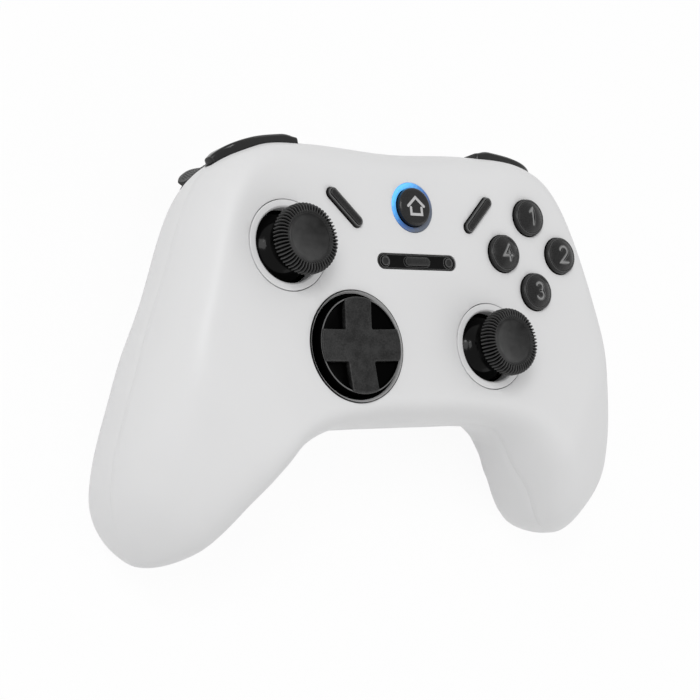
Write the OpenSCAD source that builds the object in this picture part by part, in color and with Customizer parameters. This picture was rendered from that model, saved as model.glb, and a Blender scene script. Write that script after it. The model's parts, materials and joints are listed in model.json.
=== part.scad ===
// Gamepad controller lying on its back, on the plane Z = 0, with the origin under the middle of its belly.
// X points to the player's right, Y to the shoulder buttons and Z out of the face.

/* [Casing] */
// Width across the grips
body_w = 154; // [150:1:160]
// Width across the outer corners of the shoulders
shoulder_w = 109; // [107:1:111]
// Distance from the origin to the middle of the top edge
top_reach = 44.5; // [44:0.5:45.5]
// Distance from the origin to the middle of the bottom edge
bottom_reach = 26; // [25.5:0.5:27]
// Distance from the origin to the tips of the grips
grip_reach = 54.5; // [53:0.5:57]
// Depth from the face to the plane that the controller rests on
body_depth = 47; // [45:0.5:50]
// Wall thickness of both shells
wall = 2.2; // [1.8:0.1:2.6]
// Gap between the two shells along the seam
seam_gap = 0.2; // [0.1:0.05:0.4]
// Depth by which the belly and the grips are flattened where they rest
rest_cut = 0.5; // [0.3:0.1:1]
// Depth of the seam below the face at each station
seam_depth = [14.5, 14.5, 10.5, 14.5, 17.5, 20, 27.5, 32.5]; // [0:0.5:50]
// Fall of the front surface below the face at each station
face_fall = [0, 0, 0, 0, 0.5, 3.5, 15, 32.5]; // [0:0.5:50]
// Depth of the back surface at the shoulder, outer shoulder, side and waist
back_depth = [36.5, 35.5, 37.5, 43]; // [30:0.5:50]
// Width of the rounded front edge along the outer edge at each station
front_round = [10, 10, 6.5, 11, 12, 14, 14, 14]; // [6:0.5:20]
// Width of the rounded front edge along the inner edge at each station
inner_round = [7, 7, 7, 8, 10, 12, 14, 14]; // [6:1:20]
// Width of the rounded back edge at each station
back_round = [24, 23, 20, 18, 16, 14, 14, 14]; // [10:1:30]
// Squareness of the rounded edges, where 2 is an ellipse
edge_square = 2.3; // [2:0.1:3]

/* [Face layout] */
// Middle of the left thumbstick
left_stick = [-39, 17]; // [-60:0.5:60]
// Middle of the right thumbstick
right_stick = [21.5, -7.5]; // [-60:0.5:60]
// Middle of the directional pad
pad_at = [-21.5, -7.5]; // [-60:0.5:60]
// Middle of the four face buttons
buttons_at = [39, 17]; // [-60:0.5:60]
// Distance from that middle to each face button
button_spread = 10; // [9:0.5:11]
// Home button above the middle of the face
home_y = 28; // [26:0.5:30]
// Slot bar above the middle of the face
bar_y = 14; // [12:0.5:15]
// Middle of the right slim button, mirrored for the left one
slim_at = [21.5, 27]; // [15:0.5:30]
// Slant of the slim buttons
slim_slant = 45; // [40:1:50]

/* [Sticks] */
// Outer radius of the flush ring round a stick
stick_ring_r = 11.1; // [10.8:0.1:11.5]
// Radius of the hole in the ring
stick_hole_r = 9.2; // [9:0.1:9.5]
// Depth of the tilt centre below the face
stick_depth = 11; // [10.5:0.1:11.5]
// Radius of the knurled cap
cap_r = 8.6; // [8:0.1:9]
// Radius of the dish in the top of the cap
cap_dish_r = 5.8; // [5:0.1:6.5]
// Height of the underside of the cap above the face
cap_low = 5; // [4.5:0.1:5.5]
// Height of the cap's rim above the face
cap_high = 9.4; // [9:0.1:10]
// Radius of the neck under the cap
neck_r = 4.2; // [3.8:0.1:4.4]
// Outer radius of the dome that closes the hole
dome_r = 11.2; // [11:0.1:11.4]
// Thickness of the dome
dome_wall = 1; // [0.8:0.1:1.1]
// Angle from the stick's axis to the edge of the dome
dome_edge = 72; // [68:1:73]
// Radius of the stem
stem_r = 1.9; // [1.7:0.1:2]
// Radius of the pins in the tilt mechanism
tilt_pin_r = 1; // [0.8:0.1:1.1]
// Travel of the stick's click
click_travel = 0.4; // [0.3:0.05:0.5]

/* [Pad] */
// Outer radius of the pad's ring
pad_ring_r = 13.9; // [13.5:0.1:14.5]
// Width of the pad's ring
pad_ring_w = 1.35; // [1.2:0.05:1.6]
// Radius of the dish under the cross
pad_r = 12; // [11.8:0.1:12.2]
// Width of each arm of the cross
pad_arm_w = 8; // [7:0.5:9]
// Length of each arm from the middle
pad_arm_l = 11.6; // [11:0.1:11.7]
// Height of the arms above the face
pad_arm_h = 2.3; // [1.5:0.1:2.6]
// Height of the rim round the cross above the face
pad_rim_h = 1.7; // [0.5:0.1:2]
// Depth of the pad's rocking centre below the face
pad_depth = 4; // [3.8:0.1:4.2]
// Radius of the pad's pivot pins
pad_pin_r = 0.8; // [0.6:0.1:0.9]
// Distance of the pad's plungers from its middle
pad_plunger_at = 8.2; // [7.8:0.1:8.6]

/* [Buttons] */
// Radius of a face button
button_r = 4.9; // [4.8:0.1:5.3]
// Height of a face button above the face
button_h = 2.6; // [2:0.1:3]
// Radius of the home button
home_r = 4.9; // [4.6:0.1:5.1]
// Height of the home button above the face
home_h = 1.6; // [0.8:0.1:2]
// Outer radius of the light ring round the home button
light_r = 6.4; // [6.2:0.1:6.8]
// Length of a slim button
slim_l = 12.4; // [11.5:0.1:13]
// Width of a slim button
slim_w = 2.8; // [2.5:0.1:3]
// Height of a slim button above the face
slim_h = 1.2; // [0.8:0.1:1.6]
// Length of the slot bar
bar_l = 25.2; // [24:0.2:26]
// Width of the slot bar
bar_w = 3.9; // [3.6:0.1:4.2]
// Distance of the bar's end buttons in from its ends
bar_button_in = 2.4; // [2.2:0.1:3]
// Radius of the bar's end buttons
bar_button_r = 1.2; // [1:0.1:1.3]
// Length of the raised lens in the bar
bar_lens_l = 8; // [6:0.5:9]
// Width of the lens in the bar
bar_lens_w = 2.2; // [1.8:0.1:2.4]
// Travel of the home, slim and bar buttons
small_travel = 0.4; // [0.3:0.05:0.5]

/* [Shoulders] */
// Distance by which a bumper stands out past the edge
bumper_out = 1.6; // [1.3:0.1:2]
// Extra distance by which it swells out between its ends
bumper_flare = 0.5; // [0.2:0.1:0.8]
// Thickness of a bumper behind the edge
bumper_in = 4; // [3.5:0.1:4.5]
// Depth of the upper edge of a bumper below the face
bumper_top_depth = 6; // [5.5:0.1:7]
// Depth of the lower edge of a bumper below the face
bumper_depth = 22.7; // [22.3:0.1:23.1]
// Height by which that edge rises towards the outer end
bumper_rise = 9; // [7:0.5:10]
// Fall of the bumper's upper edge at its outer end
bumper_fall = 5.5; // [4:0.5:6]
// Distance of a bumper's pivot from the middle of the face
bumper_pivot_x = 25; // [24.5:0.1:25.5]
// Distance of a bumper's pivot in from the top edge
bumper_pivot_in = 5.2; // [5:0.1:5.5]
// Radius of a bumper's pin
bumper_pin_r = 1; // [0.8:0.1:1.2]
// Depth of the toe of a trigger below the face
trigger_toe = 41.5; // [40:0.5:42]
// Height by which the toe of a trigger rises towards its outer end
trigger_rise = 10; // [8:0.5:11]
// Distance of a trigger's pivot in from the top edge
trigger_pivot_in = 11.5; // [11:0.1:12]
// Depth of a trigger's pivot below the face
trigger_pivot_depth = 26; // [25.5:0.1:26.5]
// Radius of a trigger's pin
trigger_pin_r = 1.25; // [1:0.05:1.4]
// Radius of a trigger's hub
trigger_hub_r = 3; // [2.8:0.1:3.1]
// Radius of the tapered drum that closes the casing behind a trigger, at its end near the middle
trigger_drum_r = 10.2; // [9.8:0.1:10.6]
// Radius of that drum at its other end
trigger_drum_end_r = 4.6; // [4.4:0.1:5]
// Wire radius of a trigger's spring
spring_wire_r = 0.35; // [0.3:0.05:0.4]
// Turns of a trigger's spring
spring_turns = 4; // [3:1:5]

/* [Inside] */
// Thickness of the main board
board_t = 1.6; // [1.2:0.1:1.8]
// Height of a stick's tilt centre above the board
stick_stand = 6.6; // [6.4:0.1:6.8]
// Height of a tact switch
switch_h = 3.5; // [3:0.1:4]
// Battery pack
battery_size = [40, 30, 8]; // [6:1:44]
// Middle of the battery above the middle of the face
battery_y = 10; // [8:1:12]
// Height of the battery's underside above the rest plane
battery_low = 4.5; // [4:0.5:5]
// Distance of a motor's axis in from the side of the casing
motor_in = 20; // [19.5:0.5:21]
// Middle of the motors, measured up from the middle of the face
motor_y = -24; // [-25:0.5:-23]
// Radius of a motor
motor_r = 8.5; // [8:0.1:8.6]
// Length of a motor's body
motor_l = 11; // [10:0.5:12]
// Depth of a motor's underside below the face
motor_depth = 35.5; // [34.5:0.5:35.5]
// Radius of a motor's shaft
motor_shaft_r = 1; // [0.8:0.1:1.2]
// Radius of a motor's off-centre weight
weight_r = 7.5; // [6:0.5:8]
// Thickness of a motor's weight
weight_t = 5; // [4:0.5:6]
// Radius of a case screw
screw_r = 1.25; // [1.1:0.05:1.3]
// Radius of a board screw
board_screw_r = 0.9; // [0.8:0.05:1]
// Charging socket: width, height and length of its metal shell
socket_size = [8.94, 3.2, 7.3]; // [3:0.02:9]
// Thickness of the charging socket's shell
socket_wall = 0.3; // [0.25:0.05:0.35]

/* [Fits] */
// Radial running clearance of a pin in its bore
running_fit = 0.05; // [0.03:0.01:0.08]
// Gap round a button that slides in the casing
slide_gap = 0.2; // [0.15:0.05:0.25]
// Gap round a piece that is fixed in the casing
seat_gap = 0.1; // [0.05:0.05:0.15]
// Gap round the bumpers and triggers
shoulder_gap = 0.4; // [0.3:0.05:0.5]

/* [Hidden] */
$fn = 48;

face_z = body_depth;
stick_z = face_z - stick_depth;
pad_z = face_z - pad_depth;
board_top = stick_z - stick_stand;
board_low = board_top - board_t;
under_face = face_z - wall;

// Stations along the outer edge: top middle, top, inner and outer shoulder, side, waist, grip and grip tip
half_w = body_w / 2;
half_shoulder = shoulder_w / 2;
outer_edge = [
    [0, top_reach], [half_shoulder - 29.5, top_reach + 1], [half_shoulder - 12, top_reach - 1.5],
    [half_shoulder + 0.3, top_reach - 9.4], [half_w - 12, 10], [half_w - 5.5, -9],
    [half_w, 17.5 - grip_reach], [half_w - 7.5, -grip_reach]];

// The same stations along the inner edge, from the bottom middle round the inside of the grip to its tip
inner_edge = [
    [0, -bottom_reach], [13, -bottom_reach], [26, -bottom_reach - 1], [34.5, -bottom_reach - 5],
    [half_w - 37, -bottom_reach - 11], [half_w - 30.5, 11 - grip_reach],
    [half_w - 20, 0.5 - grip_reach], [half_w - 7.5, -grip_reach]];
last = len(outer_edge) - 1;
steps = 4;
reach = last * steps;
hollow_reach = reach - 2;
edge_steps = 4;
flat_steps = 3;
columns = 2 * edge_steps + flat_steps + 1;

// Heights of the front above the seam, and of the seam above the back, at each station
belly_depth = body_depth + rest_cut;
grip_depth = body_depth + 3 * rest_cut;
tip_depth = seam_depth[last];
back_depths = concat([belly_depth, belly_depth], back_depth, [grip_depth, tip_depth]);
front_rise = [for (i = [0:last]) seam_depth[i] - face_fall[i]];
back_rise = [for (i = [0:last]) back_depths[i] - seam_depth[i]];

function spline(a, b, c, d, t) =
    b + 0.5 * t * (c - a + t * (2 * a - 5 * b + 4 * c - d + t * (3 * (b - c) + d - a)));
function mirrored(p) = [-p.x, p.y];
function pick(list, before, after, k) = k < 0 ? before : k > last ? after : list[k];
function between(list, before, after, s) =
    let (i = min(floor(s), last - 1))
    spline(pick(list, before, after, i - 1), list[i], list[i + 1], pick(list, before, after, i + 2), s - i);
function outer_at(s) = between(outer_edge, mirrored(outer_edge[1]), inner_edge[last - 1], s);
function inner_at(s) = between(inner_edge, mirrored(inner_edge[1]), outer_edge[last - 1], s);
function even_at(list, s) = between(list, list[1], list[last - 1], s);
function odd_at(list, s) = between(list, list[1], -list[last - 1], s);
function seam_z(s) = face_z - even_at(seam_depth, s);

// One cross-section from the outer edge to the inner edge, as distance along it and share of its height
function edge_in(a) = 1 - pow(cos(a), 2 / edge_square);
function edge_up(a) = pow(sin(a), 2 / edge_square);
function section(l, v, w) = concat(
    [for (k = [0:edge_steps]) [v * edge_in(90 * k / edge_steps), edge_up(90 * k / edge_steps)]],
    [for (k = [1:flat_steps - 1]) [v + (l - v - w) * k / flat_steps, 1]],
    [for (k = [edge_steps:-1:0]) [l - w * edge_in(90 * k / edge_steps), edge_up(90 * k / edge_steps)]]);

// Points of one rib of the casing, up = 1 for the front and -1 for the back, set in from the outside by inset
function rib(k, up, inset) =
    let (s = abs(k) / steps)
    let (side = k < 0 ? -1 : 1)
    let (from = outer_at(s))
    let (to = inner_at(s))
    let (length = norm(to - from))
    let (along = (to - from) / length)
    let (room = length - 2 * inset)
    let (most = 0.46 * room)
    let (outer_w = min(even_at(up > 0 ? front_round : back_round, s) - inset, most))
    let (inner_w = min(even_at(up > 0 ? inner_round : back_round, s) - inset, most))
    let (rise = odd_at(up > 0 ? front_rise : back_rise, s) - inset)
    let (low = seam_z(s) - (up > 0 ? 0 : seam_gap))
    [for (p = section(room, outer_w, inner_w))
        let (q = from + along * (p[0] + inset))
        [side * q.x, q.y, low + up * rise * p[1]]];
function tip(side, up) =
    [side * outer_edge[last].x, outer_edge[last].y, seam_z(last) - (up > 0 ? 0 : seam_gap)];
function turned(faces, up) = up > 0 ? faces : [for (f = faces) [for (i = [len(f) - 1:-1:0]) f[i]]];
function quads(row, rows) = [
    for (r = [0:rows - 2]) for (c = [0:columns - 2])
        let (a = row + r * columns + c)
        each [[a, a + columns, a + columns + 1], [a, a + columns + 1, a + 1]]];

// Half of the casing as a hollow shell: outer surface, inner surface and the rim between them
module half_shell(up) {
    outer_rows = 2 * reach - 1;
    inner_rows = 2 * hollow_reach + 1;
    inner_start = outer_rows * columns;
    tip_left = inner_start + inner_rows * columns;
    tip_right = tip_left + 1;
    end = columns - 1;
    points = concat(
        [for (k = [1 - reach:reach - 1]) each rib(k, up, 0)],
        [for (k = [-hollow_reach:hollow_reach]) each rib(k, up, wall)],
        [tip(-1, up), tip(1, up)]);
    function outer(k, c) = (k + reach - 1) * columns + c;
    function inner(k, c) = inner_start + (k + hollow_reach) * columns + c;
    outside = concat(
        quads(0, outer_rows),
        [for (c = [0:end - 1]) [tip_left, outer(1 - reach, c), outer(1 - reach, c + 1)]],
        [for (c = [0:end - 1]) [outer(reach - 1, c), tip_right, outer(reach - 1, c + 1)]]);
    inside = concat(
        turned(quads(inner_start, inner_rows), -1),
        [[for (c = [end:-1:0]) inner(-hollow_reach, c)]],
        [[for (c = [0:end]) inner(hollow_reach, c)]]);
    rim = [for (k = [-hollow_reach:hollow_reach - 1]) each [
        [outer(k, 0), inner(k, 0), inner(k + 1, 0), outer(k + 1, 0)],
        [inner(k, end), outer(k, end), outer(k + 1, end), inner(k + 1, end)]]];
    h = hollow_reach;
    solid_right = concat(
        [[outer(h + 1, 0), outer(h, 0), inner(h, 0)], [outer(h + 1, 0), inner(h, 0), inner(h, end)],
         [outer(h + 1, 0), inner(h, end), outer(h, end)],
         [outer(h + 1, 0), outer(h, end), outer(h + 1, end)]],
        [[outer(reach - 1, 0), outer(reach - 1, end), tip_right]]);
    solid_left = concat(
        [[outer(-h - 1, 0), inner(-h, 0), outer(-h, 0)], [outer(-h - 1, 0), inner(-h, end), inner(-h, 0)],
         [outer(-h - 1, 0), outer(-h, end), inner(-h, end)],
         [outer(-h - 1, 0), outer(-h - 1, end), outer(-h, end)]],
        [[outer(1 - reach, 0), tip_left, outer(1 - reach, end)]]);
    faces = concat(outside, inside, rim, solid_right, solid_left);
    polyhedron(points, turned(faces, up), convexity = 6);
}

// Half of the casing as a solid set in by inset, which trims the posts that stand on its wall
module half_core(up, inset) {
    rows = 2 * hollow_reach + 1;
    end = columns - 1;
    points = [for (k = [-hollow_reach:hollow_reach]) each rib(k, up, inset)];
    faces = concat(
        quads(0, rows),
        [for (r = [0:rows - 2])
            [r * columns, r * columns + end, (r + 1) * columns + end, (r + 1) * columns]],
        [[for (c = [0:end]) c]],
        [[for (c = [end:-1:0]) (rows - 1) * columns + c]]);
    polyhedron(points, turned(faces, up), convexity = 4);
}

// Screws that hold the shells together: place, depth of the split between the posts, depth of the head's seat
screw_list = [
    [[half_w - 17, -2], 17, 33], [[17 - half_w, -2], 17, 33],
    [[half_w - 16, 14.5 - grip_reach], 25.5, 39], [[16 - half_w, 14.5 - grip_reach], 25.5, 39],
    [[0, 14 - bottom_reach], 14, 39]];
post_r = 3;
screw_head_r = 2.4;
screw_head_h = 1.6;
screw_bite = 8;
post_split_gap = 0.2;

// Posts that carry the board
board_posts = [[13.5, 19.5], [-13.5, 19.5], [46, -4], [-46, -4]];
board_post_r = 2.4;
board_screw_bite = 6;

// Flanges that hold rings and buttons behind the face
flange_t = 1.2;
flange_w = 0.9;
flange_gap = 0.2;

module capsule(length, width, height) {
    linear_extrude(height) {
        square([length - width, width], center = true);
        for (e = [-1, 1])
            translate([e * (length - width) / 2, 0])
                circle(d = width);
    }
}

module along_x(x, r, length) {
    translate([x, 0, 0])
        rotate([0, 90, 0])
            cylinder(r = r, h = length);
}

module along_y(y, r, length) {
    translate([0, y, 0])
        rotate([-90, 0, 0])
            cylinder(r = r, h = length);
}

module at_both(place) {
    for (side = [-1, 1])
        translate([side * place.x, place.y, 0])
            children();
}

// Slots for the charging socket and openings for the bumpers and triggers
socket_y = outer_edge[0].y - socket_size[2] - 0.3;
socket_z = board_top + socket_size[1] / 2;
socket_gap = 0.35;

module socket_slot() {
    translate([0, socket_y, socket_z])
        rotate([-90, 0, 0])
            capsule(socket_size[0] + 2 * socket_gap, socket_size[1] + 2 * socket_gap, 2 * socket_size[2]);
}

// Edge of the shoulder: a point on it, the way out of the casing there, and a loft along it
bumper_from = 1.2;
bumper_full_from = 1.45;
bumper_rise_from = 1.85;
bumper_flare_from = 2.2;
bumper_fall_from = 1.95;
bumper_to = 2.68;
trigger_from = 1.3;
trigger_rise_from = 1.7;
trigger_to = 2.55;
loft_steps = 10;
bumper_pivot = [bumper_pivot_x, top_reach - bumper_pivot_in];
bumper_high = face_z - bumper_top_depth;
bumper_low = face_z - bumper_depth;
trigger_top = bumper_low - shoulder_gap;
trigger_toe_z = face_z - trigger_toe;
trigger_corner = 3;
trigger_draw_in = 2.2;
function shoulder_out(s) =
    let (t = outer_at(s + 0.01) - outer_at(s - 0.01))
    [-t.y, t.x] / norm(t);
function shoulder_ring(s, side, profile) =
    [for (p = profile)
        let (q = outer_at(s) + shoulder_out(s) * p[0])
        [side * q.x, q.y, p[1]]];
function share(s, from, to) = (2 * s - from - to) / (to - from);
function bumper_reach(s) =
    let (start = max(0, bumper_full_from - s) / (bumper_full_from - bumper_from))
    let (swell = min(1, max(0, s - bumper_full_from) / (bumper_flare_from - bumper_full_from)))
    let (end = max(0, s - bumper_flare_from) / (bumper_to - bumper_flare_from))
    bumper_out * (1 - 0.9 * start * start) + bumper_flare * (swell * swell * (3 - 2 * swell) - pow(end, 4));
function bumper_low_at(s) =
    bumper_low + bumper_rise * pow(max(0, s - bumper_rise_from) / (bumper_to - bumper_rise_from), 1.35);
function bumper_high_at(s) =
    bumper_high - bumper_fall * pow(max(0, s - bumper_fall_from) / (bumper_to - bumper_fall_from), 2.6);
function bumper_profile(s) =
    let (out = bumper_reach(s))
    let (low = bumper_low_at(s))
    let (high = bumper_high_at(s))
    let (h = high - low)
    [[-bumper_in, high], [out - 0.9, high], [out - 0.2, high - min(0.5, 0.12 * h)],
     [out, high - min(1.6, 0.3 * h)], [out, low + min(3, 0.35 * h)],
     [out - 0.4, low + min(1.2, 0.15 * h)], [out - 1.6, low], [-bumper_in, low]];

// The toe bends up at the inner end, and rises and draws in towards the outer end
function trigger_profile(s) =
    let (end = pow(max(0, -share(s, trigger_from, trigger_to)), 6))
    let (draw = pow(max(0, s - trigger_rise_from) / (trigger_to - trigger_rise_from), 1.2))
    let (toe = trigger_toe_z + trigger_corner * end + trigger_rise * draw)
    let (fall = trigger_top - toe)
    let (in = 0.6 * end + trigger_draw_in * draw)
    [[-4, trigger_top], [2.2 - 1.4 * in, trigger_top], [1.3 - in, trigger_top - 0.2 * fall],
     [0.8 - in, trigger_top - 0.45 * fall], [0.7 - in, trigger_top - 0.65 * fall],
     [1 - in, trigger_top - 0.85 * fall], [1.6 - in, toe + 0.7], [1 - in, toe], [-0.8 - in / 2, toe + 0.6],
     [-2.6 - in / 2, toe + 0.22 * fall], [-5, toe + 0.42 * fall], [-5.5, trigger_top - 0.4 * fall]];

module shoulder_loft(side, rings) {
    size = len(rings[0]);
    count = len(rings);
    walls = [for (r = [0:count - 2]) for (c = [0:size - 1])
        let (a = r * size + c)
        let (b = r * size + (c + 1) % size)
        each [[a, b, b + size], [a, b + size, a + size]]];
    caps = [[for (c = [size - 1:-1:0]) c], [for (c = [0:size - 1]) (count - 1) * size + c]];
    polyhedron([for (ring = rings) each ring], turned(concat(walls, caps), side), convexity = 4);
}

module bumper_strip(side) {
    shoulder_loft(side, [for (i = [0:loft_steps])
        let (s = bumper_from + (bumper_to - bumper_from) * i / loft_steps)
        shoulder_ring(s, side, bumper_profile(s))]);
}

module trigger_pad(side) {
    shoulder_loft(side, [for (i = [0:loft_steps])
        let (s = trigger_from + (trigger_to - trigger_from) * i / loft_steps)
        shoulder_ring(s, side, trigger_profile(s))]);
}

trigger_near = outer_at(trigger_from).x - 1;
trigger_far = outer_at(trigger_to).x + 1;
trigger_y = top_reach - trigger_pivot_in;
trigger_z = face_z - trigger_pivot_depth;
trigger_back = 1;
bumper_swing = 1.3;
bumper_end_gap = [0.03, 0.06];
opening_out = 12;
function drum_r_at(x) =
    let (t = (x - trigger_near) / (trigger_far - trigger_near))
    trigger_drum_r + (trigger_drum_end_r - trigger_drum_r) * t;

// Room for a bumper, pressed or not
module bumper_opening(side) {
    from = bumper_from - bumper_end_gap[0];
    to = bumper_to + bumper_end_gap[1];
    back = -bumper_in - bumper_swing;
    shoulder_loft(side, [for (i = [0:loft_steps])
        let (s = from + (to - from) * i / loft_steps)
        let (high = bumper_high_at(s - bumper_end_gap[1]) + shoulder_gap)
        let (low = bumper_low_at(s - bumper_end_gap[1]) - shoulder_gap)
        shoulder_ring(s, side, [[back, high], [opening_out, high], [opening_out, low], [back, low]])]);
}

// Cone about the line of a trigger's pin, grown by extra
module trigger_cone(start, end, extra) {
    translate([start, trigger_y, trigger_z])
        rotate([0, 90, 0])
            cylinder(r1 = drum_r_at(start) + extra, r2 = drum_r_at(end) + extra, h = end - start);
}

module trigger_opening(side) {
    mirror([side < 0 ? 1 : 0, 0, 0]) {
        translate([trigger_near, trigger_y + trigger_back, -body_depth])
            cube([trigger_far - trigger_near, body_depth, body_depth + trigger_top + shoulder_gap]);
        trigger_cone(trigger_near, trigger_far, shoulder_gap);
    }
}

// Casing
bumper_post_r = 2.6;
bumper_boss_low = face_z - 13.4;
bumper_pin_bite = 3;
battery_floor = 1;
battery_rail_w = 2;

module front_posts() {
    intersection() {
        half_core(1, wall / 2);
        union() {
            for (s = screw_list)
                translate([s[0].x, s[0].y, face_z - s[1]])
                    cylinder(r = post_r, h = body_depth);
            at_both(bumper_pivot)
                translate([0, 0, bumper_boss_low])
                    cylinder(r = bumper_post_r, h = body_depth);
        }
    }
    for (p = board_posts)
        translate([p.x, p.y, board_top])
            cylinder(r = board_post_r, h = face_z - wall / 2 - board_top);
}

module front_holes() {
    through = 3 * wall;
    low = face_z - 2 * wall;
    for (p = [left_stick, right_stick])
        translate([p.x, p.y, low])
            cylinder(r = stick_ring_r + seat_gap, h = through);
    translate([pad_at.x, pad_at.y, low])
        cylinder(r = pad_ring_r + seat_gap, h = through);
    for (a = [0:90:270])
        translate([buttons_at.x, buttons_at.y, low])
            rotate(a)
                translate([button_spread, 0, 0])
                    cylinder(r = button_r + slide_gap, h = through);
    translate([0, home_y, low])
        cylinder(r = light_r + seat_gap, h = through);
    for (side = [-1, 1])
        at_slim(side)
            translate([0, 0, low])
                capsule(slim_l + 2 * slide_gap, slim_w + 2 * slide_gap, through);
    translate([0, bar_y, low])
        capsule(bar_l + 2 * seat_gap, bar_w + 2 * seat_gap, through);
}

module at_slim(side) {
    translate([side * slim_at.x, slim_at.y, 0])
        rotate(side * slim_slant)
            children();
}

module front_shell() {
    color("whitesmoke")
        difference() {
            union() {
                half_shell(1);
                front_posts();
            }
            front_holes();
            socket_slot();
            for (side = [-1, 1])
                bumper_opening(side);
            for (s = screw_list)
                translate([s[0].x, s[0].y, face_z - s[1] - 1])
                    cylinder(r = screw_r + running_fit, h = screw_bite + 1.5);
            for (p = board_posts)
                translate([p.x, p.y, board_top - 1])
                    cylinder(r = board_screw_r + running_fit, h = board_screw_bite + 1.5);
            at_both(bumper_pivot)
                translate([0, 0, bumper_boss_low - 1])
                    cylinder(r = bumper_pin_r + running_fit, h = bumper_pin_bite + 1.2);
        }
}

motor_low = face_z - motor_depth;
motor_at = [half_w - motor_in, motor_y];
cup_w = 1.5;
cup_h = 6;

module back_posts() {
    intersection() {
        half_core(-1, wall / 2);
        union() {
            for (s = screw_list)
                translate([s[0].x, s[0].y, 0])
                    cylinder(r = post_r + 1, h = face_z - s[2] + 2);
            at_both(motor_at)
                difference() {
                    cylinder(r = motor_r + seat_gap + cup_w, h = motor_low + cup_h);
                    translate([0, 0, motor_low - seat_gap])
                        cylinder(r = motor_r + seat_gap, h = body_depth);
                }
        }
    }
    for (s = screw_list)
        translate([s[0].x, s[0].y, face_z - s[2] + 1])
            cylinder(r = post_r, h = s[2] - s[1] - post_split_gap - 1);
    for (side = [-1, 1])
        translate([side * battery_size.x / 4, battery_y, (battery_floor + battery_low) / 2])
            cube([battery_rail_w, battery_size.y, battery_low - battery_floor], center = true);
    at_both(bumper_pivot)
        translate([0, 0, bumper_low - 9])
            cylinder(r = bumper_post_r, h = 9 - shoulder_gap);
}

module back_shell() {
    color("gainsboro")
        difference() {
            union() {
                half_shell(-1);
                back_posts();
            }
            translate([-body_depth * 2, -body_depth * 2, -body_depth])
                cube([body_depth * 4, body_depth * 4, body_depth]);
            for (side = [-1, 1]) {
                bumper_opening(side);
                trigger_opening(side);
            }
            socket_slot();
            for (s = screw_list) {
                translate([s[0].x, s[0].y, -1])
                    cylinder(r = screw_head_r + slide_gap, h = face_z - s[2] + 1);
                translate([s[0].x, s[0].y, -1])
                    cylinder(r = screw_r + slide_gap, h = body_depth);
            }
            at_both(bumper_pivot)
                translate([0, 0, bumper_low - 4])
                    cylinder(r = bumper_pin_r + running_fit, h = 5);
        }
}

module case_screws() {
    color("dimgray")
        for (s = screw_list)
            translate([s[0].x, s[0].y, face_z - s[2]]) {
                translate([0, 0, -screw_head_h])
                    cylinder(r = screw_head_r, h = screw_head_h);
                cylinder(r = screw_r, h = s[2] - s[1] + screw_bite);
            }
}

module board_screws() {
    color("silver")
        for (p = board_posts)
            translate([p.x, p.y, board_low]) {
                translate([0, 0, -1.2])
                    cylinder(r = 2 * board_screw_r, h = 1.2);
                cylinder(r = board_screw_r, h = board_t + board_screw_bite);
            }
}

// Rings that sit in the face
module stick_ring(place) {
    translate([place.x, place.y, 0])
        rotate_extrude()
            polygon([
                [stick_hole_r, under_face - flange_gap - flange_t], [stick_hole_r, face_z - 0.3],
                [stick_hole_r + 0.4, face_z + 0.1], [stick_ring_r, face_z + 0.1],
                [stick_ring_r, under_face - flange_gap], [stick_ring_r + flange_w, under_face - flange_gap],
                [stick_ring_r + flange_w, under_face - flange_gap - flange_t]]);
}

module left_stick_ring() { color("white") stick_ring(left_stick); }
module right_stick_ring() { color("white") stick_ring(right_stick); }

// Directional pad
pad_hole_r = pad_ring_r - pad_ring_w;
pad_bevel = 0.8;
pad_ring_h = 0.3;
pad_skin_low = pad_z + 2;
pad_skin_high = face_z - 0.7;
pad_root = 0.5;
pad_skirt_w = 1.2;
pad_rim_w = 0.6;
pad_skirt_low = pad_z - 0.5;
pad_ear_at = 4.2;
pad_ear_t = 1.6;
pad_ear_w = 4;
pad_cross_ear_at = 3.4;
pad_ear_drop = 1.6;
pad_ear_top = pad_z + 1.2;
pad_base_t = 1.5;
dome_sheet_t = 1;
dome_h = 3.6;
dome_low_r = 3;
dome_high_r = 2.2;
dome_gap = 0.2;
dome_top = board_top + dome_sheet_t + dome_h;
pad_sheet_r = 11.5;
plunger_r = 1.6;

module pad_ring() {
    color([0.12, 0.12, 0.13])
        translate([pad_at.x, pad_at.y, 0])
            rotate_extrude()
                polygon([
                    [pad_hole_r, under_face - flange_gap - flange_t], [pad_hole_r, face_z - 2 * pad_bevel],
                    [pad_hole_r + pad_bevel, face_z + pad_ring_h], [pad_ring_r, face_z + pad_ring_h],
                    [pad_ring_r, under_face - flange_gap - flange_t]]);
}

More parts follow.
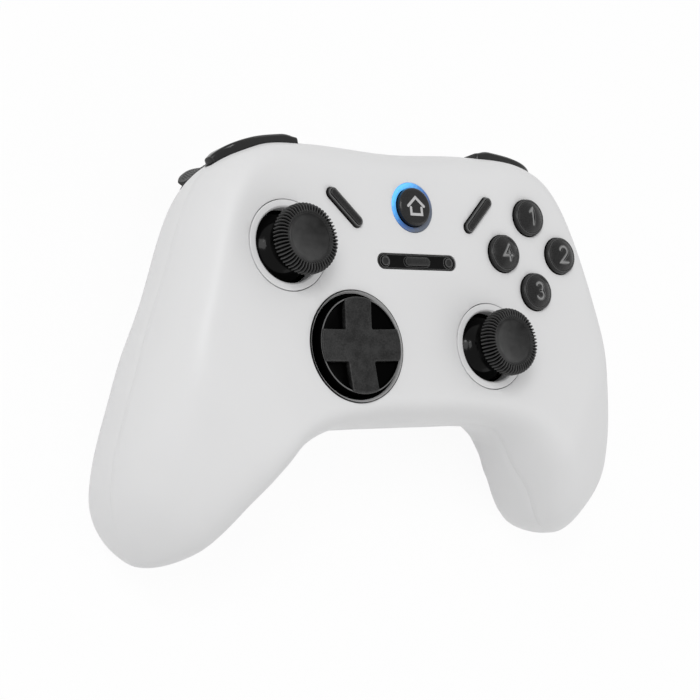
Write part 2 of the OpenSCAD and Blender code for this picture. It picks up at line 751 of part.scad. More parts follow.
module pad_cross() {
    color([0.1, 0.1, 0.11])
        translate([pad_at.x, pad_at.y, 0]) {
            translate([0, 0, pad_skin_low])
                cylinder(r = pad_r, h = pad_skin_high - pad_skin_low);
            translate([0, 0, pad_skirt_low])
                difference() {
                    cylinder(r = pad_r, h = pad_skin_low - pad_skirt_low + pad_root);
                    translate([0, 0, -1])
                        cylinder(r = pad_r - pad_skirt_w, h = body_depth);
                }
            translate([0, 0, pad_skin_high - pad_root])
                difference() {
                    cylinder(r = pad_r, h = face_z + pad_rim_h - pad_skin_high + pad_root);
                    translate([0, 0, -1])
                        cylinder(r = pad_r - pad_rim_w, h = body_depth);
                }
            translate([0, 0, pad_skin_high - pad_root])
                linear_extrude(face_z + pad_arm_h - pad_skin_high + pad_root)
                    intersection() {
                        circle(r = pad_arm_l);
                        union() {
                            square([2 * pad_arm_l, pad_arm_w], center = true);
                            square([pad_arm_w, 2 * pad_arm_l], center = true);
                        }
                    }
            for (a = [0:90:270])
                rotate(a)
                    translate([pad_plunger_at, 0, dome_top + dome_gap])
                        cylinder(r = plunger_r, h = pad_skin_low - dome_top);
            difference() {
                for (a = [0, 180])
                    rotate(a)
                        translate([-pad_ear_w / 2, pad_cross_ear_at, pad_z - pad_ear_drop])
                            cube([pad_ear_w, pad_ear_t, pad_skin_low - pad_z + pad_ear_drop + pad_root]);
                translate([0, 0, pad_z])
                    along_y(-pad_r / 2, pad_pin_r + running_fit, pad_r);
            }
        }
}

module pad_pivot() {
    x_half = pad_ear_at + pad_ear_t - 0.1;
    y_half = pad_cross_ear_at + pad_ear_t - 0.1;
    color("silver")
        translate([pad_at.x, pad_at.y, pad_z]) {
            along_x(-x_half, pad_pin_r, 2 * x_half);
            along_y(-y_half, pad_pin_r, 2 * y_half);
            cube(3 * pad_pin_r, center = true);
        }
}

module pad_support() {
    half = pad_ear_at + pad_ear_t;
    color("dimgray")
        translate([pad_at.x, pad_at.y, 0])
            difference() {
                union() {
                    translate([-half, -pad_ear_w / 2, board_top])
                        cube([2 * half, pad_ear_w, pad_base_t]);
                    for (a = [0, 180])
                        rotate(a)
                            translate([pad_ear_at, -pad_ear_w / 2, board_top])
                                cube([pad_ear_t, pad_ear_w, pad_ear_top - board_top]);
                }
                translate([0, 0, pad_z])
                    along_x(-pad_r, pad_pin_r + running_fit, 2 * pad_r);
            }
}

module dome() {
    translate([0, 0, board_top + dome_sheet_t])
        cylinder(r1 = dome_low_r, r2 = dome_high_r, h = dome_h);
}

module pad_membrane() {
    half = pad_ear_at + pad_ear_t + slide_gap;
    color("lightgray")
        translate([pad_at.x, pad_at.y, 0])
            difference() {
                union() {
                    translate([0, 0, board_top])
                        cylinder(r = pad_sheet_r, h = dome_sheet_t);
                    for (a = [0:90:270])
                        rotate(a)
                            translate([pad_plunger_at, 0, 0])
                                dome();
                }
                translate([-half, -pad_ear_w / 2 - slide_gap, board_top - 1])
                    cube([2 * half, pad_ear_w + 2 * slide_gap, 2 * dome_h]);
            }
}

// Face buttons, numbered clockwise from the top
button_flange_r = button_r + 0.6;
button_foot_r = 4;

module face_button(turn) {
    top = face_z + button_h;
    low = dome_top + dome_gap;
    flange_z = under_face - flange_gap - flange_t;
    color([0.11, 0.11, 0.12])
        translate([buttons_at.x, buttons_at.y, 0])
            rotate(90 - turn)
                translate([button_spread, 0, 0])
                    rotate_extrude()
                        polygon([
                            [0, low], [button_foot_r, low], [button_foot_r, flange_z],
                            [button_flange_r, flange_z], [button_flange_r, flange_z + flange_t],
                            [button_r, flange_z + flange_t], [button_r, top - 1.1],
                            [button_r - 0.4, top - 0.7], [button_r - 1.4, top - 0.2],
                            [button_r - 3, top], [0, top]]);
}

module button_1() { face_button(0); }
module button_2() { face_button(90); }
module button_3() { face_button(180); }
module button_4() { face_button(270); }

module button_membrane() {
    sheet_w = 2 * dome_low_r + 2;
    color("lightgray")
        translate([buttons_at.x, buttons_at.y, 0]) {
            for (a = [0, 90])
                rotate(a)
                    translate([0, 0, board_top])
                        capsule(2 * button_spread + sheet_w, sheet_w, dome_sheet_t);
            for (a = [0:90:270])
                rotate(a)
                    translate([button_spread, 0, 0])
                        dome();
        }
}

// Home button, slim buttons and slot bar
switch_gap = 0.1;
stem_low = board_top + switch_h + small_travel + switch_gap;
small_stem_r = 1.2;
home_stem_r = 2;
slim_flange_w = 0.8;
light_low = under_face - flange_gap - flange_t;

module home_button() {
    flange_z = light_low - small_travel / 2 - flange_t;
    top = face_z + home_h;
    color([0.1, 0.1, 0.1])
        translate([0, home_y, 0])
            rotate_extrude()
                polygon([
                    [0, stem_low], [home_stem_r, stem_low], [home_stem_r, flange_z],
                    [home_r + flange_w, flange_z], [home_r + flange_w, flange_z + flange_t],
                    [home_r, flange_z + flange_t], [home_r, top - 0.6], [home_r - 0.6, top - 0.1],
                    [home_r - 2.5, top], [0, top]]);
}

module home_light_ring() {
    bore_r = home_r + slide_gap;
    color("deepskyblue")
        translate([0, home_y, 0])
            rotate_extrude()
                polygon([
                    [bore_r, light_low], [bore_r, face_z - 0.1], [light_r, face_z + 0.1],
                    [light_r, under_face - flange_gap], [light_r + flange_w, under_face - flange_gap],
                    [light_r + flange_w, light_low]]);
}

module slim_button(side) {
    flange_z = under_face - flange_gap - flange_t;
    color([0.1, 0.1, 0.11])
        at_slim(side) {
            translate([0, 0, flange_z])
                capsule(slim_l, slim_w, face_z + slim_h - flange_z);
            translate([0, 0, flange_z])
                capsule(slim_l + 2 * slim_flange_w, slim_w + 2 * slim_flange_w, flange_t);
            translate([0, 0, stem_low])
                cylinder(r = small_stem_r, h = flange_z - stem_low + 0.5);
        }
}

module left_slim_button() { slim_button(-1); }
module right_slim_button() { slim_button(1); }

bezel_low = under_face - flange_gap - flange_t;
bar_flange_r = bar_button_r + 0.6;
bar_sink = 0.2;
bar_button_at = bar_l / 2 - bar_button_in;
lens_flange_w = 0.8;
lens_h = 0.4;
bar_button_h = 0.1;

module bar_bezel() {
    color([0.13, 0.13, 0.14])
        translate([0, bar_y, 0])
            difference() {
                union() {
                    translate([0, 0, bezel_low])
                        capsule(bar_l, bar_w, face_z - bar_sink - bezel_low);
                    translate([0, 0, bezel_low])
                        capsule(bar_l + flange_w, bar_w + flange_w, flange_t);
                }
                for (side = [-1, 1])
                    translate([side * bar_button_at, 0, bezel_low - 1])
                        cylinder(r = bar_button_r + slide_gap, h = body_depth);
                translate([0, 0, bezel_low - 1])
                    capsule(bar_lens_l + 2 * seat_gap, bar_lens_w + 2 * seat_gap, body_depth);
            }
}

module bar_button(side) {
    flange_z = bezel_low - small_travel / 2 - flange_t;
    top = face_z + bar_button_h;
    color([0.1, 0.1, 0.1])
        translate([side * bar_button_at, bar_y, 0])
            rotate_extrude()
                polygon([
                    [0, stem_low], [small_stem_r, stem_low], [small_stem_r, flange_z],
                    [bar_flange_r, flange_z], [bar_flange_r, flange_z + flange_t],
                    [bar_button_r, flange_z + flange_t], [bar_button_r, top], [0, top]]);
}

module bar_left_button() { bar_button(-1); }
module bar_right_button() { bar_button(1); }

module bar_lens() {
    color([0.2, 0.2, 0.22])
        translate([0, bar_y, 0]) {
            translate([0, 0, bezel_low])
                capsule(bar_lens_l, bar_lens_w, face_z + lens_h - bezel_low);
            translate([0, 0, bezel_low - flange_t])
                capsule(bar_lens_l + 2 * lens_flange_w, bar_lens_w + 2 * lens_flange_w, flange_t);
        }
}

// Bumpers and triggers
bumper_arm_h = 8;
bumper_arm_w = 2;
bumper_root = outer_at(bumper_from) - shoulder_out(bumper_from) * (bumper_in - 1) + [5, 0];

module bumper(side) {
    color([0.08, 0.08, 0.08])
        difference() {
            union() {
                bumper_strip(side);
                translate([side * bumper_pivot.x, bumper_pivot.y, bumper_low])
                    cylinder(r = bumper_post_r, h = bumper_arm_h);
                translate([0, 0, bumper_low])
                    linear_extrude(bumper_arm_h)
                        polygon([for (p = [
                            [bumper_pivot.x, bumper_pivot.y - bumper_arm_w], bumper_root - [0, bumper_arm_w],
                            bumper_root, [bumper_pivot.x, bumper_pivot.y + bumper_arm_w]])
                            [side * p.x, p.y]]);
            }
            translate([side * bumper_pivot.x, bumper_pivot.y, bumper_low - 1])
                cylinder(r = bumper_pin_r + running_fit, h = bumper_depth);
        }
}

module left_bumper() { bumper(-1); }
module right_bumper() { bumper(1); }

module bumper_pins() {
    low = bumper_low - 4;
    color("silver")
        at_both(bumper_pivot)
            translate([0, 0, low])
                cylinder(r = bumper_pin_r, h = bumper_boss_low + bumper_pin_bite - low);
}

bumper_switch_at = 41;
bumper_switch_size = [6, 5, 3.8];
bumper_switch_front = top_reach - 8.3;

module bumper_switches() {
    color("black")
        for (side = [-1, 1])
            translate([side * bumper_switch_at - bumper_switch_size.x / 2,
                       bumper_switch_front - bumper_switch_size.y, board_top])
                cube(bumper_switch_size);
}

trigger_start = trigger_near + shoulder_gap;
trigger_end = trigger_far - shoulder_gap;
trigger_middle = (trigger_near + trigger_far) / 2;
trigger_skirt_t = 1.5;
trigger_cheek_t = 2.5;
drum_open = 14;
drum_close = 128;
bracket_t = 3;
bracket_gap = 0.4;
spring_side_l = 0.5;
foot_size = [10, 7, 1.6];
foot_back = 4.5;

// Slice of the drum, from just under the bumper round to the inside of the casing
module drum_slice() {
    far = 3 * trigger_drum_r;
    intersection() {
        trigger_cone(trigger_start, trigger_end, 0);
        translate([trigger_start, trigger_y, trigger_z])
            rotate([90, 0, 90])
                linear_extrude(trigger_end - trigger_start)
                    polygon([
                        [0, 0], far * [cos(drum_open), -sin(drum_open)], far * [1, -1], far * [0, -1],
                        far * [cos(drum_close), -sin(drum_close)]]);
    }
}

module trigger_drum() {
    hub_l = (trigger_end - trigger_start - bracket_t) / 2 - bracket_gap;
    difference() {
        drum_slice();
        trigger_cone(trigger_start + trigger_cheek_t, trigger_end - trigger_cheek_t, -trigger_skirt_t);
    }
    translate([trigger_start, trigger_y, trigger_z])
        along_x(0, trigger_hub_r, trigger_cheek_t + spring_side_l);
    translate([trigger_end, trigger_y, trigger_z])
        along_x(-hub_l, trigger_hub_r, hub_l);
}

module trigger(side) {
    color([0.07, 0.07, 0.07])
        difference() {
            union() {
                trigger_pad(side);
                mirror([side < 0 ? 1 : 0, 0, 0])
                    trigger_drum();
            }
            translate([0, trigger_y, trigger_z])
                along_x(-2 * body_depth, trigger_pin_r + running_fit, 4 * body_depth);
        }
}

module left_trigger() { trigger(-1); }
module right_trigger() { trigger(1); }

module trigger_bracket(side) {
    leg_low = trigger_z - trigger_hub_r;
    color("dimgray")
        translate([side * trigger_middle, trigger_y, 0])
            difference() {
                union() {
                    translate([-foot_size.x / 2, -foot_back, board_low - foot_size.z])
                        cube(foot_size);
                    translate([-bracket_t / 2, -trigger_hub_r, leg_low])
                        cube([bracket_t, 2 * trigger_hub_r, board_low - leg_low]);
                }
                translate([0, 0, trigger_z])
                    along_x(-bracket_t, trigger_pin_r + running_fit, 2 * bracket_t);
            }
}

module left_trigger_bracket() { trigger_bracket(-1); }
module right_trigger_bracket() { trigger_bracket(1); }

module trigger_pins() {
    length = trigger_end - trigger_start - 0.4;
    color("silver")
        for (side = [-1, 1])
            translate([side * trigger_middle, trigger_y, trigger_z])
                along_x(-length / 2, trigger_pin_r, length);
}

// Torsion spring wound round a trigger's pin
spring_r = trigger_pin_r + spring_wire_r + 0.5;
spring_pitch = 3 * spring_wire_r;
spring_sides = 6;
spring_at = bracket_t / 2 + spring_turns * spring_pitch / 2 + spring_wire_r + 0.4;
spring_rings = 12;

module trigger_spring(side) {
    count = spring_turns * spring_rings;
    start = -spring_turns * spring_pitch / 2;
    points = [for (i = [0:count]) for (j = [0:spring_sides - 1])
        let (a = 360 * i / spring_rings)
        let (b = 360 * j / spring_sides)
        let (r = spring_r + spring_wire_r * cos(b))
        [start + spring_pitch * i / spring_rings + spring_wire_r * sin(b), r * cos(a), r * sin(a)]];
    walls = [for (i = [0:count - 1]) for (j = [0:spring_sides - 1])
        let (a = i * spring_sides + j)
        let (b = i * spring_sides + (j + 1) % spring_sides)
        each [[a, b, b + spring_sides], [a, b + spring_sides, a + spring_sides]]];
    caps = [[for (j = [spring_sides - 1:-1:0]) j],
        [for (j = [0:spring_sides - 1]) count * spring_sides + j]];
    color("silver")
        translate([side * (trigger_middle - spring_at), trigger_y, trigger_z])
            polyhedron(points, concat(walls, caps), convexity = 8);
}

module left_trigger_spring() { trigger_spring(-1); }
module right_trigger_spring() { trigger_spring(1); }

// Thumbsticks, drawn about their tilt centre
stem_top = stick_depth + cap_low;
stem_foot = 4.3;
stem_press = 0.02;
stem_seat = 0.1;
cap_dish_h = 1.4;
stick_block = [5.6, 5.2, 4.4];
hub_low = 8.6;
hub_r = 3.4;
yoke_hole_r = 4.4;
yoke_r = 6;
yoke_h = 3.2;
arm_hole_r = yoke_r + 0.7;
arm_r = arm_hole_r + 0.8;
arm_slot = stem_r + 0.25;
arm_w = arm_slot + 0.75;
house_in = norm([arm_r, arm_w]) + 0.35;
house_wall = 1.2;
house_out = house_in + house_wall;
house_top = 0.6;
house_floor = 1;
house_ear_r = 2;
pin_end = house_out - 0.2;

module at_stick(place) {
    translate([place.x, place.y, stick_z])
        children();
}

module stick_cap(place) {
    inner_r = dome_r - dome_wall;
    arc = 6;
    in_from = asin(hub_r / inner_r);
    out_from = asin(neck_r / dome_r);
    low = stick_depth + cap_low;
    high = stick_depth + cap_high;
    bore_r = stem_r + stem_press;
    color([0.09, 0.09, 0.09])
        at_stick(place)
            rotate_extrude()
                polygon(concat(
                    [[bore_r, hub_low], [hub_r, hub_low]],
                    [for (i = [0:arc])
                        let (a = in_from + (dome_edge - in_from) * i / arc)
                        inner_r * [sin(a), cos(a)]],
                    [for (i = [0:arc])
                        let (a = dome_edge + (out_from - dome_edge) * i / arc)
                        dome_r * [sin(a), cos(a)]],
                    [[neck_r, low], [cap_r - 0.8, low], [cap_r, low + 0.8], [cap_r, high - 1.2],
                     [cap_r - 0.9, high], [cap_dish_r + 0.4, high], [cap_dish_r, high - 0.2],
                     [cap_dish_r / 2, high - 1.1], [0, high - cap_dish_h],
                     [0, stem_top + stem_seat], [bore_r, stem_top + stem_seat]]));
}

module stick_stem(place) {
    color("silver")
        at_stick(place) {
            cylinder(r = stem_r, h = stem_top);
            intersection() {
                translate([0, 0, -stem_foot])
                    cylinder(r = stem_r, h = stem_foot + 1);
                sphere(r = stem_foot);
            }
        }
}

module stick_pivot(place) {
    color("gray")
        at_stick(place)
            difference() {
                union() {
                    cube(stick_block, center = true);
                    along_x(-yoke_r + 0.1, tilt_pin_r, 2 * yoke_r - 0.2);
                }
                translate([0, 0, -yoke_r])
                    cylinder(r = stem_r + running_fit, h = 2 * yoke_r);
            }
}

module stick_yoke(place) {
    color("dimgray")
        at_stick(place)
            difference() {
                union() {
                    translate([0, 0, -yoke_h / 2])
                        difference() {
                            cylinder(r = yoke_r, h = yoke_h);
                            translate([0, 0, -1])
                                cylinder(r = yoke_hole_r, h = yoke_h + 2);
                        }
                    for (side = [0, 180])
                        rotate(side)
                            along_y(yoke_r - 0.6, tilt_pin_r, pin_end - yoke_r + 0.6);
                }
                along_x(-2 * yoke_r, tilt_pin_r + running_fit, 4 * yoke_r);
            }
}

module stick_arm(place) {
    slot_l = 10;
    color("gray")
        at_stick(place) {
            difference() {
                along_y(-arm_w, arm_r, 2 * arm_w);
                along_y(-2 * arm_w, arm_hole_r, 4 * arm_w);
                translate([-2 * arm_r, -2 * arm_r, -4 * arm_r - yoke_h / 2])
                    cube(4 * arm_r);
                translate([-slot_l / 2, -arm_slot, 0])
                    cube([slot_l, 2 * arm_slot, 2 * arm_r]);
            }
            for (side = [0, 180])
                rotate(side)
                    along_x(arm_r - 0.5, tilt_pin_r, pin_end - arm_r + 0.5);
        }
}

module stick_housing(place) {
    color("lightsteelblue")
        at_stick(place)
            difference() {
                union() {
                    translate([0, 0, -stick_stand])
                        cylinder(r = house_out, h = stick_stand + house_top);
                    along_x(-house_out, house_ear_r, 2 * house_out);
                    along_y(-house_out, house_ear_r, 2 * house_out);
                }
                translate([0, 0, house_floor - stick_stand])
                    cylinder(r = house_in, h = 2 * stick_stand);
                along_x(-2 * house_out, tilt_pin_r + running_fit, 4 * house_out);
                along_y(-2 * house_out, tilt_pin_r + running_fit, 4 * house_out);
            }
}

module left_stick_cap() { stick_cap(left_stick); }
module left_stick_stem() { stick_stem(left_stick); }
module left_stick_pivot() { stick_pivot(left_stick); }
module left_stick_yoke() { stick_yoke(left_stick); }
module left_stick_arm() { stick_arm(left_stick); }
module left_stick_housing() { stick_housing(left_stick); }
module right_stick_cap() { stick_cap(right_stick); }
module right_stick_stem() { stick_stem(right_stick); }
module right_stick_pivot() { stick_pivot(right_stick); }
module right_stick_yoke() { stick_yoke(right_stick); }
module right_stick_arm() { stick_arm(right_stick); }
module right_stick_housing() { stick_housing(right_stick); }

sensor_drop = 1.9;
sensor_size = [2.5, 7.2, stick_stand - sensor_drop];
click_gap = 0.15;

module stick_sensors() {
    color("seagreen")
        for (p = [left_stick, right_stick])
            at_stick(p)
                for (a = [0, 90])
                    rotate(a)
                        translate([house_out, -sensor_size.y / 2, -stick_stand])
                            cube(sensor_size);
}

module click_switches() {
    low = house_floor - stick_stand;
    color("gold")
        for (p = [left_stick, right_stick])
            at_stick(p)
                translate([0, 0, low])
                    cylinder(r = 2, h = -stem_foot - click_travel - click_gap - low);
}

// Strips that make up the board: half width, lower edge and upper edge
board_strips = [
    [54, 4, top_reach - 15.5], [50, -9, top_reach - 15.5], [44, 0, top_reach - 10], [34, -22, -8],
    [8, 20, top_reach - 4.5]];
board_hole_gap = 0.5;

// Inside of the casing
module main_board() {
    color("darkgreen")
        translate([0, 0, board_low])
            difference() {
                linear_extrude(board_t)
                    for (b = board_strips)
                        translate([-b[0], b[1]])
                            square([2 * b[0], b[2] - b[1]]);
                for (p = board_posts)
                    translate([p.x, p.y, -1])
                        cylinder(r = board_screw_r + slide_gap, h = board_t + 2);
                for (s = screw_list)
                    translate([s[0].x, s[0].y, -1])
                        cylinder(r = post_r + board_hole_gap, h = board_t + 2);
            }
}

module tact_switch(place, size) {
    translate([place.x - size / 2, place.y - size / 2, board_top])
        cube([size, size, switch_h]);
}

module tact_switches() {
    color("black") {
        tact_switch([0, home_y], 6);
        for (side = [-1, 1]) {
            tact_switch([side * slim_at.x, slim_at.y], 4.4);
            tact_switch([side * bar_button_at, bar_y], 4.4);
        }
    }
}

module usb_socket() {
    tongue = [6.7, 0.7];
    back = 1;
    bore = [socket_size[0] - 2 * socket_wall, socket_size[1] - 2 * socket_wall];
    color("silver")
        translate([0, socket_y, socket_z])
            rotate([-90, 0, 0]) {
                difference() {
                    capsule(socket_size[0], socket_size[1], socket_size[2]);
                    translate([0, 0, back])
                        capsule(bore[0], bore[1], socket_size[2]);
                }
                translate([-tongue[0] / 2, -tongue[1] / 2, back / 2])
                    cube([tongue[0], tongue[1], socket_size[2] - 1.5]);
            }
}

module battery() {
    color("steelblue")
        translate([-battery_size.x / 2, battery_y - battery_size.y / 2, battery_low])
            cube(battery_size);
}

module motor(side) {
    color("silver")
        translate([side * motor_at.x, motor_at.y, motor_low])
            difference() {
                cylinder(r = motor_r, h = motor_l);
                translate([0, 0, motor_l / 2])
                    cylinder(r = motor_shaft_r + running_fit, h = motor_l);
            }
}

module motor_weight(side) {
    gap = 1;
    low = motor_low + motor_l;
    color("darkgray")
        translate([side * motor_at.x, motor_at.y, low]) {
            translate([0, 0, 0.2 - motor_l / 2])
                cylinder(r = motor_shaft_r, h = motor_l / 2 + gap + weight_t);
            translate([0, 0, gap])
                difference() {
                    cylinder(r = weight_r, h = weight_t);
                    translate([-2 * weight_r, motor_shaft_r + 0.8, -1])
                        cube([4 * weight_r, 2 * weight_r, weight_t + 2]);
                }
        }
}

module left_motor() { motor(-1); }
module right_motor() { motor(1); }
module left_motor_weight() { motor_weight(-1); }
module right_motor_weight() { motor_weight(1); }

front_shell();
back_shell();
left_stick_ring();
right_stick_ring();
pad_ring();
pad_cross();
pad_pivot();
pad_support();
pad_membrane();
button_1();
button_2();
button_3();
button_4();
button_membrane();
home_button();
home_light_ring();
left_slim_button();
right_slim_button();
bar_bezel();
bar_left_button();
bar_right_button();
bar_lens();
left_bumper();
right_bumper();
bumper_pins();
bumper_switches();
left_trigger();
right_trigger();
left_trigger_bracket();
right_trigger_bracket();
trigger_pins();
left_trigger_spring();
right_trigger_spring();
left_stick_cap();
left_stick_stem();
left_stick_pivot();
left_stick_yoke();
left_stick_arm();
left_stick_housing();
right_stick_cap();
right_stick_stem();
right_stick_pivot();
right_stick_yoke();
right_stick_arm();
right_stick_housing();
stick_sensors();
click_switches();
main_board();
tact_switches();
usb_socket();
battery();
left_motor();
right_motor();
left_motor_weight();
right_motor_weight();
board_screws();
case_screws();
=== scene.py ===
"""Looks of a gamepad controller that lies on its back. Lengths are millimetres until a mesh is made."""
import json
import math

import bmesh
import bpy
import numpy as np
from mathutils import Matrix, Vector
from mathutils.geometry import delaunay_2d_cdt

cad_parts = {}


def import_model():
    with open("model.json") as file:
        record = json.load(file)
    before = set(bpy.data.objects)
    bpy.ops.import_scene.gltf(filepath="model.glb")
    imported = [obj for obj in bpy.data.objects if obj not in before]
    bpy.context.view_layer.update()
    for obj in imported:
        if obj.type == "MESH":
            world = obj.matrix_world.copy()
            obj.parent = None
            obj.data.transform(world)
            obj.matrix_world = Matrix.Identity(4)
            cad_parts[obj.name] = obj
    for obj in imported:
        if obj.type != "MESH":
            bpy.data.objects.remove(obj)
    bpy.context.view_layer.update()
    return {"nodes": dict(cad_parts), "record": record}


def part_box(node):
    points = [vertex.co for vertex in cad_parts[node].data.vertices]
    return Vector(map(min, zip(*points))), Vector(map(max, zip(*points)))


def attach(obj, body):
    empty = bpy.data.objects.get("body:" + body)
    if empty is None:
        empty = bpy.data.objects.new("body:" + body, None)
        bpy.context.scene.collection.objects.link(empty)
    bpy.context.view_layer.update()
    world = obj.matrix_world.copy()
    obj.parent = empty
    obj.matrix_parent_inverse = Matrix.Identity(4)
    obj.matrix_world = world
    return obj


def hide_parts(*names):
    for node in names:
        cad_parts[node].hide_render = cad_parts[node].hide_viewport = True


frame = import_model()

MM = 0.001

# Casing: edges and depths at eight stations, from the middle of the top round to the tip of a grip
OUTER_EDGE = [
    (0, 44.5), (25, 45.5), (42.5, 43), (54.8, 35.1),
    (65, 10), (71.5, -9), (77, -37), (69.5, -54.5)]
INNER_EDGE = [
    (0, -26), (13, -26), (26, -27), (34.5, -31),
    (40, -37), (46.5, -43.5), (57, -54), (69.5, -54.5)]
SEAM_DEPTH = np.array([14.5, 14.5, 10.5, 14.5, 17.5, 20, 27.5, 32.5])
FACE_FALL = np.array([0, 0, 0, 0, 0.5, 3.5, 15, 32.5])
BACK_DEPTH = np.array([47.5, 47.5, 36.5, 35.5, 37.5, 43, 48.5, 32.5])
FRONT_ROUND = [10, 10, 6.5, 11, 12, 14, 14, 14]
INNER_ROUND = [7, 7, 7, 8, 10, 12, 14, 14]
BACK_ROUND = [24, 23, 20, 18, 16, 14, 14, 14]
EDGE_SQUARE = 2.3
MOST_ROUND = 0.46
WALL = 2.2
SEAM_GAP = 0.02
SEAM_BEVEL = 0.03
SEAM_STEP = 0.8
LIP = 0.45
LIP_PLAY = 0.04
STATION_ROWS = 20
EDGE_STEPS = 14
FLAT_STEPS = 18
LAST = len(OUTER_EDGE) - 1
FACE_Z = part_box("front_shell")[1].z / MM

# Gaps round the controls, and the number of sides of what is round
SEAT_GAP = 0.1
SLIDE_GAP = 0.2
SHOULDER_GAP = 0.4
ROUND_SIDES = 96


def middle(node):
    """Middle of a CAD node, in millimetres."""
    low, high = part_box(node)
    return np.array((low + high) / 2) / MM


# Places of the controls and the socket, from the CAD model
SIDES = {"left": -1, "right": 1}
STICK_AT = {side: middle(f"{side}_stick_ring")[:2] for side in SIDES}
PAD_AT = middle("pad_ring")[:2]
BUTTON_AT = [middle(f"button_{n}")[:2] for n in (1, 2, 3, 4)]
HOME_AT = middle("home_light_ring")[:2]
SLIM_AT = {side: middle(f"{side}_slim_button")[:2] for side in SIDES}
BAR_AT = middle("bar_bezel")[:2]
BAR_ENDS = {side: middle(f"bar_{side}_button")[:2] for side in SIDES}
SOCKET_Y, SOCKET_Z = middle("usb_socket")[1:]

# Sizes of the controls in the face and of the socket
STICK_RING_R, STICK_HOLE_R = 11.1, 9.2
PAD_RING_R, PAD_HOLE_R = 13.9, 12.55
BUTTON_R, HOME_R, LIGHT_R = 4.9, 4.9, 6.4
SLIM_L, SLIM_W, SLIM_SLANT = 12.4, 2.8, 45
SLIM_H, BAR_SUNK, BAR_BUTTON_H, LENS_H = 1.2, 0.2, 0.1, 0.4
BAR_L, BAR_W, BAR_BUTTON_R, LENS_L, LENS_W = 25.2, 3.9, 1.2, 8, 2.2
LENS_EDGE, LENS_CROWN = 0.25, 0.12
FLANGE_HIGH, FLANGE_LOW = FACE_Z - 2.4, FACE_Z - 3.6
SOCKET_L, SOCKET_W, SOCKET_GAP, SOCKET_IN = 8.94, 3.2, 0.35, 4


# Meshes and pieces
def linked(name, data):
    obj = bpy.data.objects.new(name, data)
    bpy.context.scene.collection.objects.link(obj)
    return obj


def mesh_object(name, verts, faces):
    """Object in the scene, from points in millimetres."""
    mesh = bpy.data.meshes.new(name)
    mesh.from_pydata((np.asarray(verts, float) * MM).tolist(), [], faces)
    mesh.update()
    return linked(name, mesh)


def clean(obj, smooth_angle=35):
    """Merges points that coincide, turns the faces outwards and shades them smooth up to an angle."""
    work = bmesh.new()
    work.from_mesh(obj.data)
    bmesh.ops.remove_doubles(work, verts=work.verts, dist=0.002 * MM)
    bmesh.ops.recalc_face_normals(work, faces=work.faces)
    work.to_mesh(obj.data)
    work.free()
    obj.data.shade_smooth()
    obj.data.set_sharp_from_angle(angle=math.radians(smooth_angle))
    return obj


def carve(obj, cutters):
    """Cuts the solids in cutters out of obj, one after another."""
    for cutter in cutters:
        cut = obj.modifiers.new("cut", "BOOLEAN")
        cut.operation = "DIFFERENCE"
        cut.solver = "MANIFOLD"
        cut.object = cutter
    bpy.context.view_layer.update()
    carved = bpy.data.meshes.new_from_object(obj.evaluated_get(bpy.context.evaluated_depsgraph_get()))
    obj.modifiers.clear()
    obj.data = carved
    for cutter in cutters:
        bpy.data.objects.remove(cutter)
    return obj


def piece(obj, body, nodes, shader):
    """Dresses obj, makes it ride on a body and lets it stand for CAD nodes."""
    obj.data.materials.clear()
    obj.data.materials.append(shader.material)
    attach(obj, body)
    if nodes:
        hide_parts(*nodes)
    return obj


def bridge(count, sides, closed=False):
    """Quads between so many rings with so many sides. If closed, the last ring joins the first."""
    turns = count if closed else count - 1
    return [
        (r * sides + c, r * sides + (c + 1) % sides,
         (r + 1) % count * sides + (c + 1) % sides, (r + 1) % count * sides + c)
        for r in range(turns) for c in range(sides)]


def capped(count, sides):
    """Quads between the rings, and a face on the first and on the last ring."""
    first = tuple(range(sides))[::-1]
    last = tuple(range((count - 1) * sides, count * sides))
    return [*bridge(count, sides), first, last]


# Outlines: points and the way out of them
def unit(vectors):
    return vectors / np.linalg.norm(vectors, axis=1)[:, None]


def outline_of(points):
    """Anticlockwise points with the way out of each."""
    along = np.roll(points, -1, axis=0) - np.roll(points, 1, axis=0)
    return points, unit(np.stack([along[:, 1], -along[:, 0]], 1))


def run_along(points):
    """Distance along an open line up to each of its points."""
    return np.concatenate([[0], np.cumsum(np.linalg.norm(np.diff(points, axis=0), axis=1))])


def circle(radius, sides=ROUND_SIDES):
    angle = np.linspace(0, 2 * math.pi, sides, endpoint=False)
    out = np.stack([np.cos(angle), np.sin(angle)], 1)
    return radius * out, out


def capsule(length, width):
    """Slot with round ends that lies along X."""
    points, out = circle(width / 2)
    points[:, 0] += np.where(out[:, 0] > 0, 1, -1) * (length - width) / 2
    return points, out


def turned(points, degrees):
    """Points turned anticlockwise about the origin."""
    a = math.radians(degrees)
    return points @ np.array([[math.cos(a), math.sin(a)], [-math.sin(a), math.cos(a)]])


def loft(name, outline, profile, at=(0, 0), turn=0, closed=False):
    """Solid whose rings are the outline, set out by each profile point's first value and at its second.
    A closed profile goes round a hole."""
    points, out = outline
    rings = [turned(points + out * set_out, turn) + np.array(at) for set_out, _ in profile]
    sides = len(points)
    verts = np.concatenate([
        np.column_stack([ring, np.full(sides, height)]) for ring, (_, height) in zip(rings, profile)])
    faces = bridge(len(profile), sides, True) if closed else capped(len(profile), sides)
    return clean(mesh_object(name, verts, faces))


def arc(middle_point, radius, start, end, steps=6):
    """Points of an arc from one angle to another, in degrees."""
    angles = np.radians(np.linspace(start, end, steps + 1))
    return [(middle_point[0] + radius * math.cos(a), middle_point[1] + radius * math.sin(a)) for a in angles]


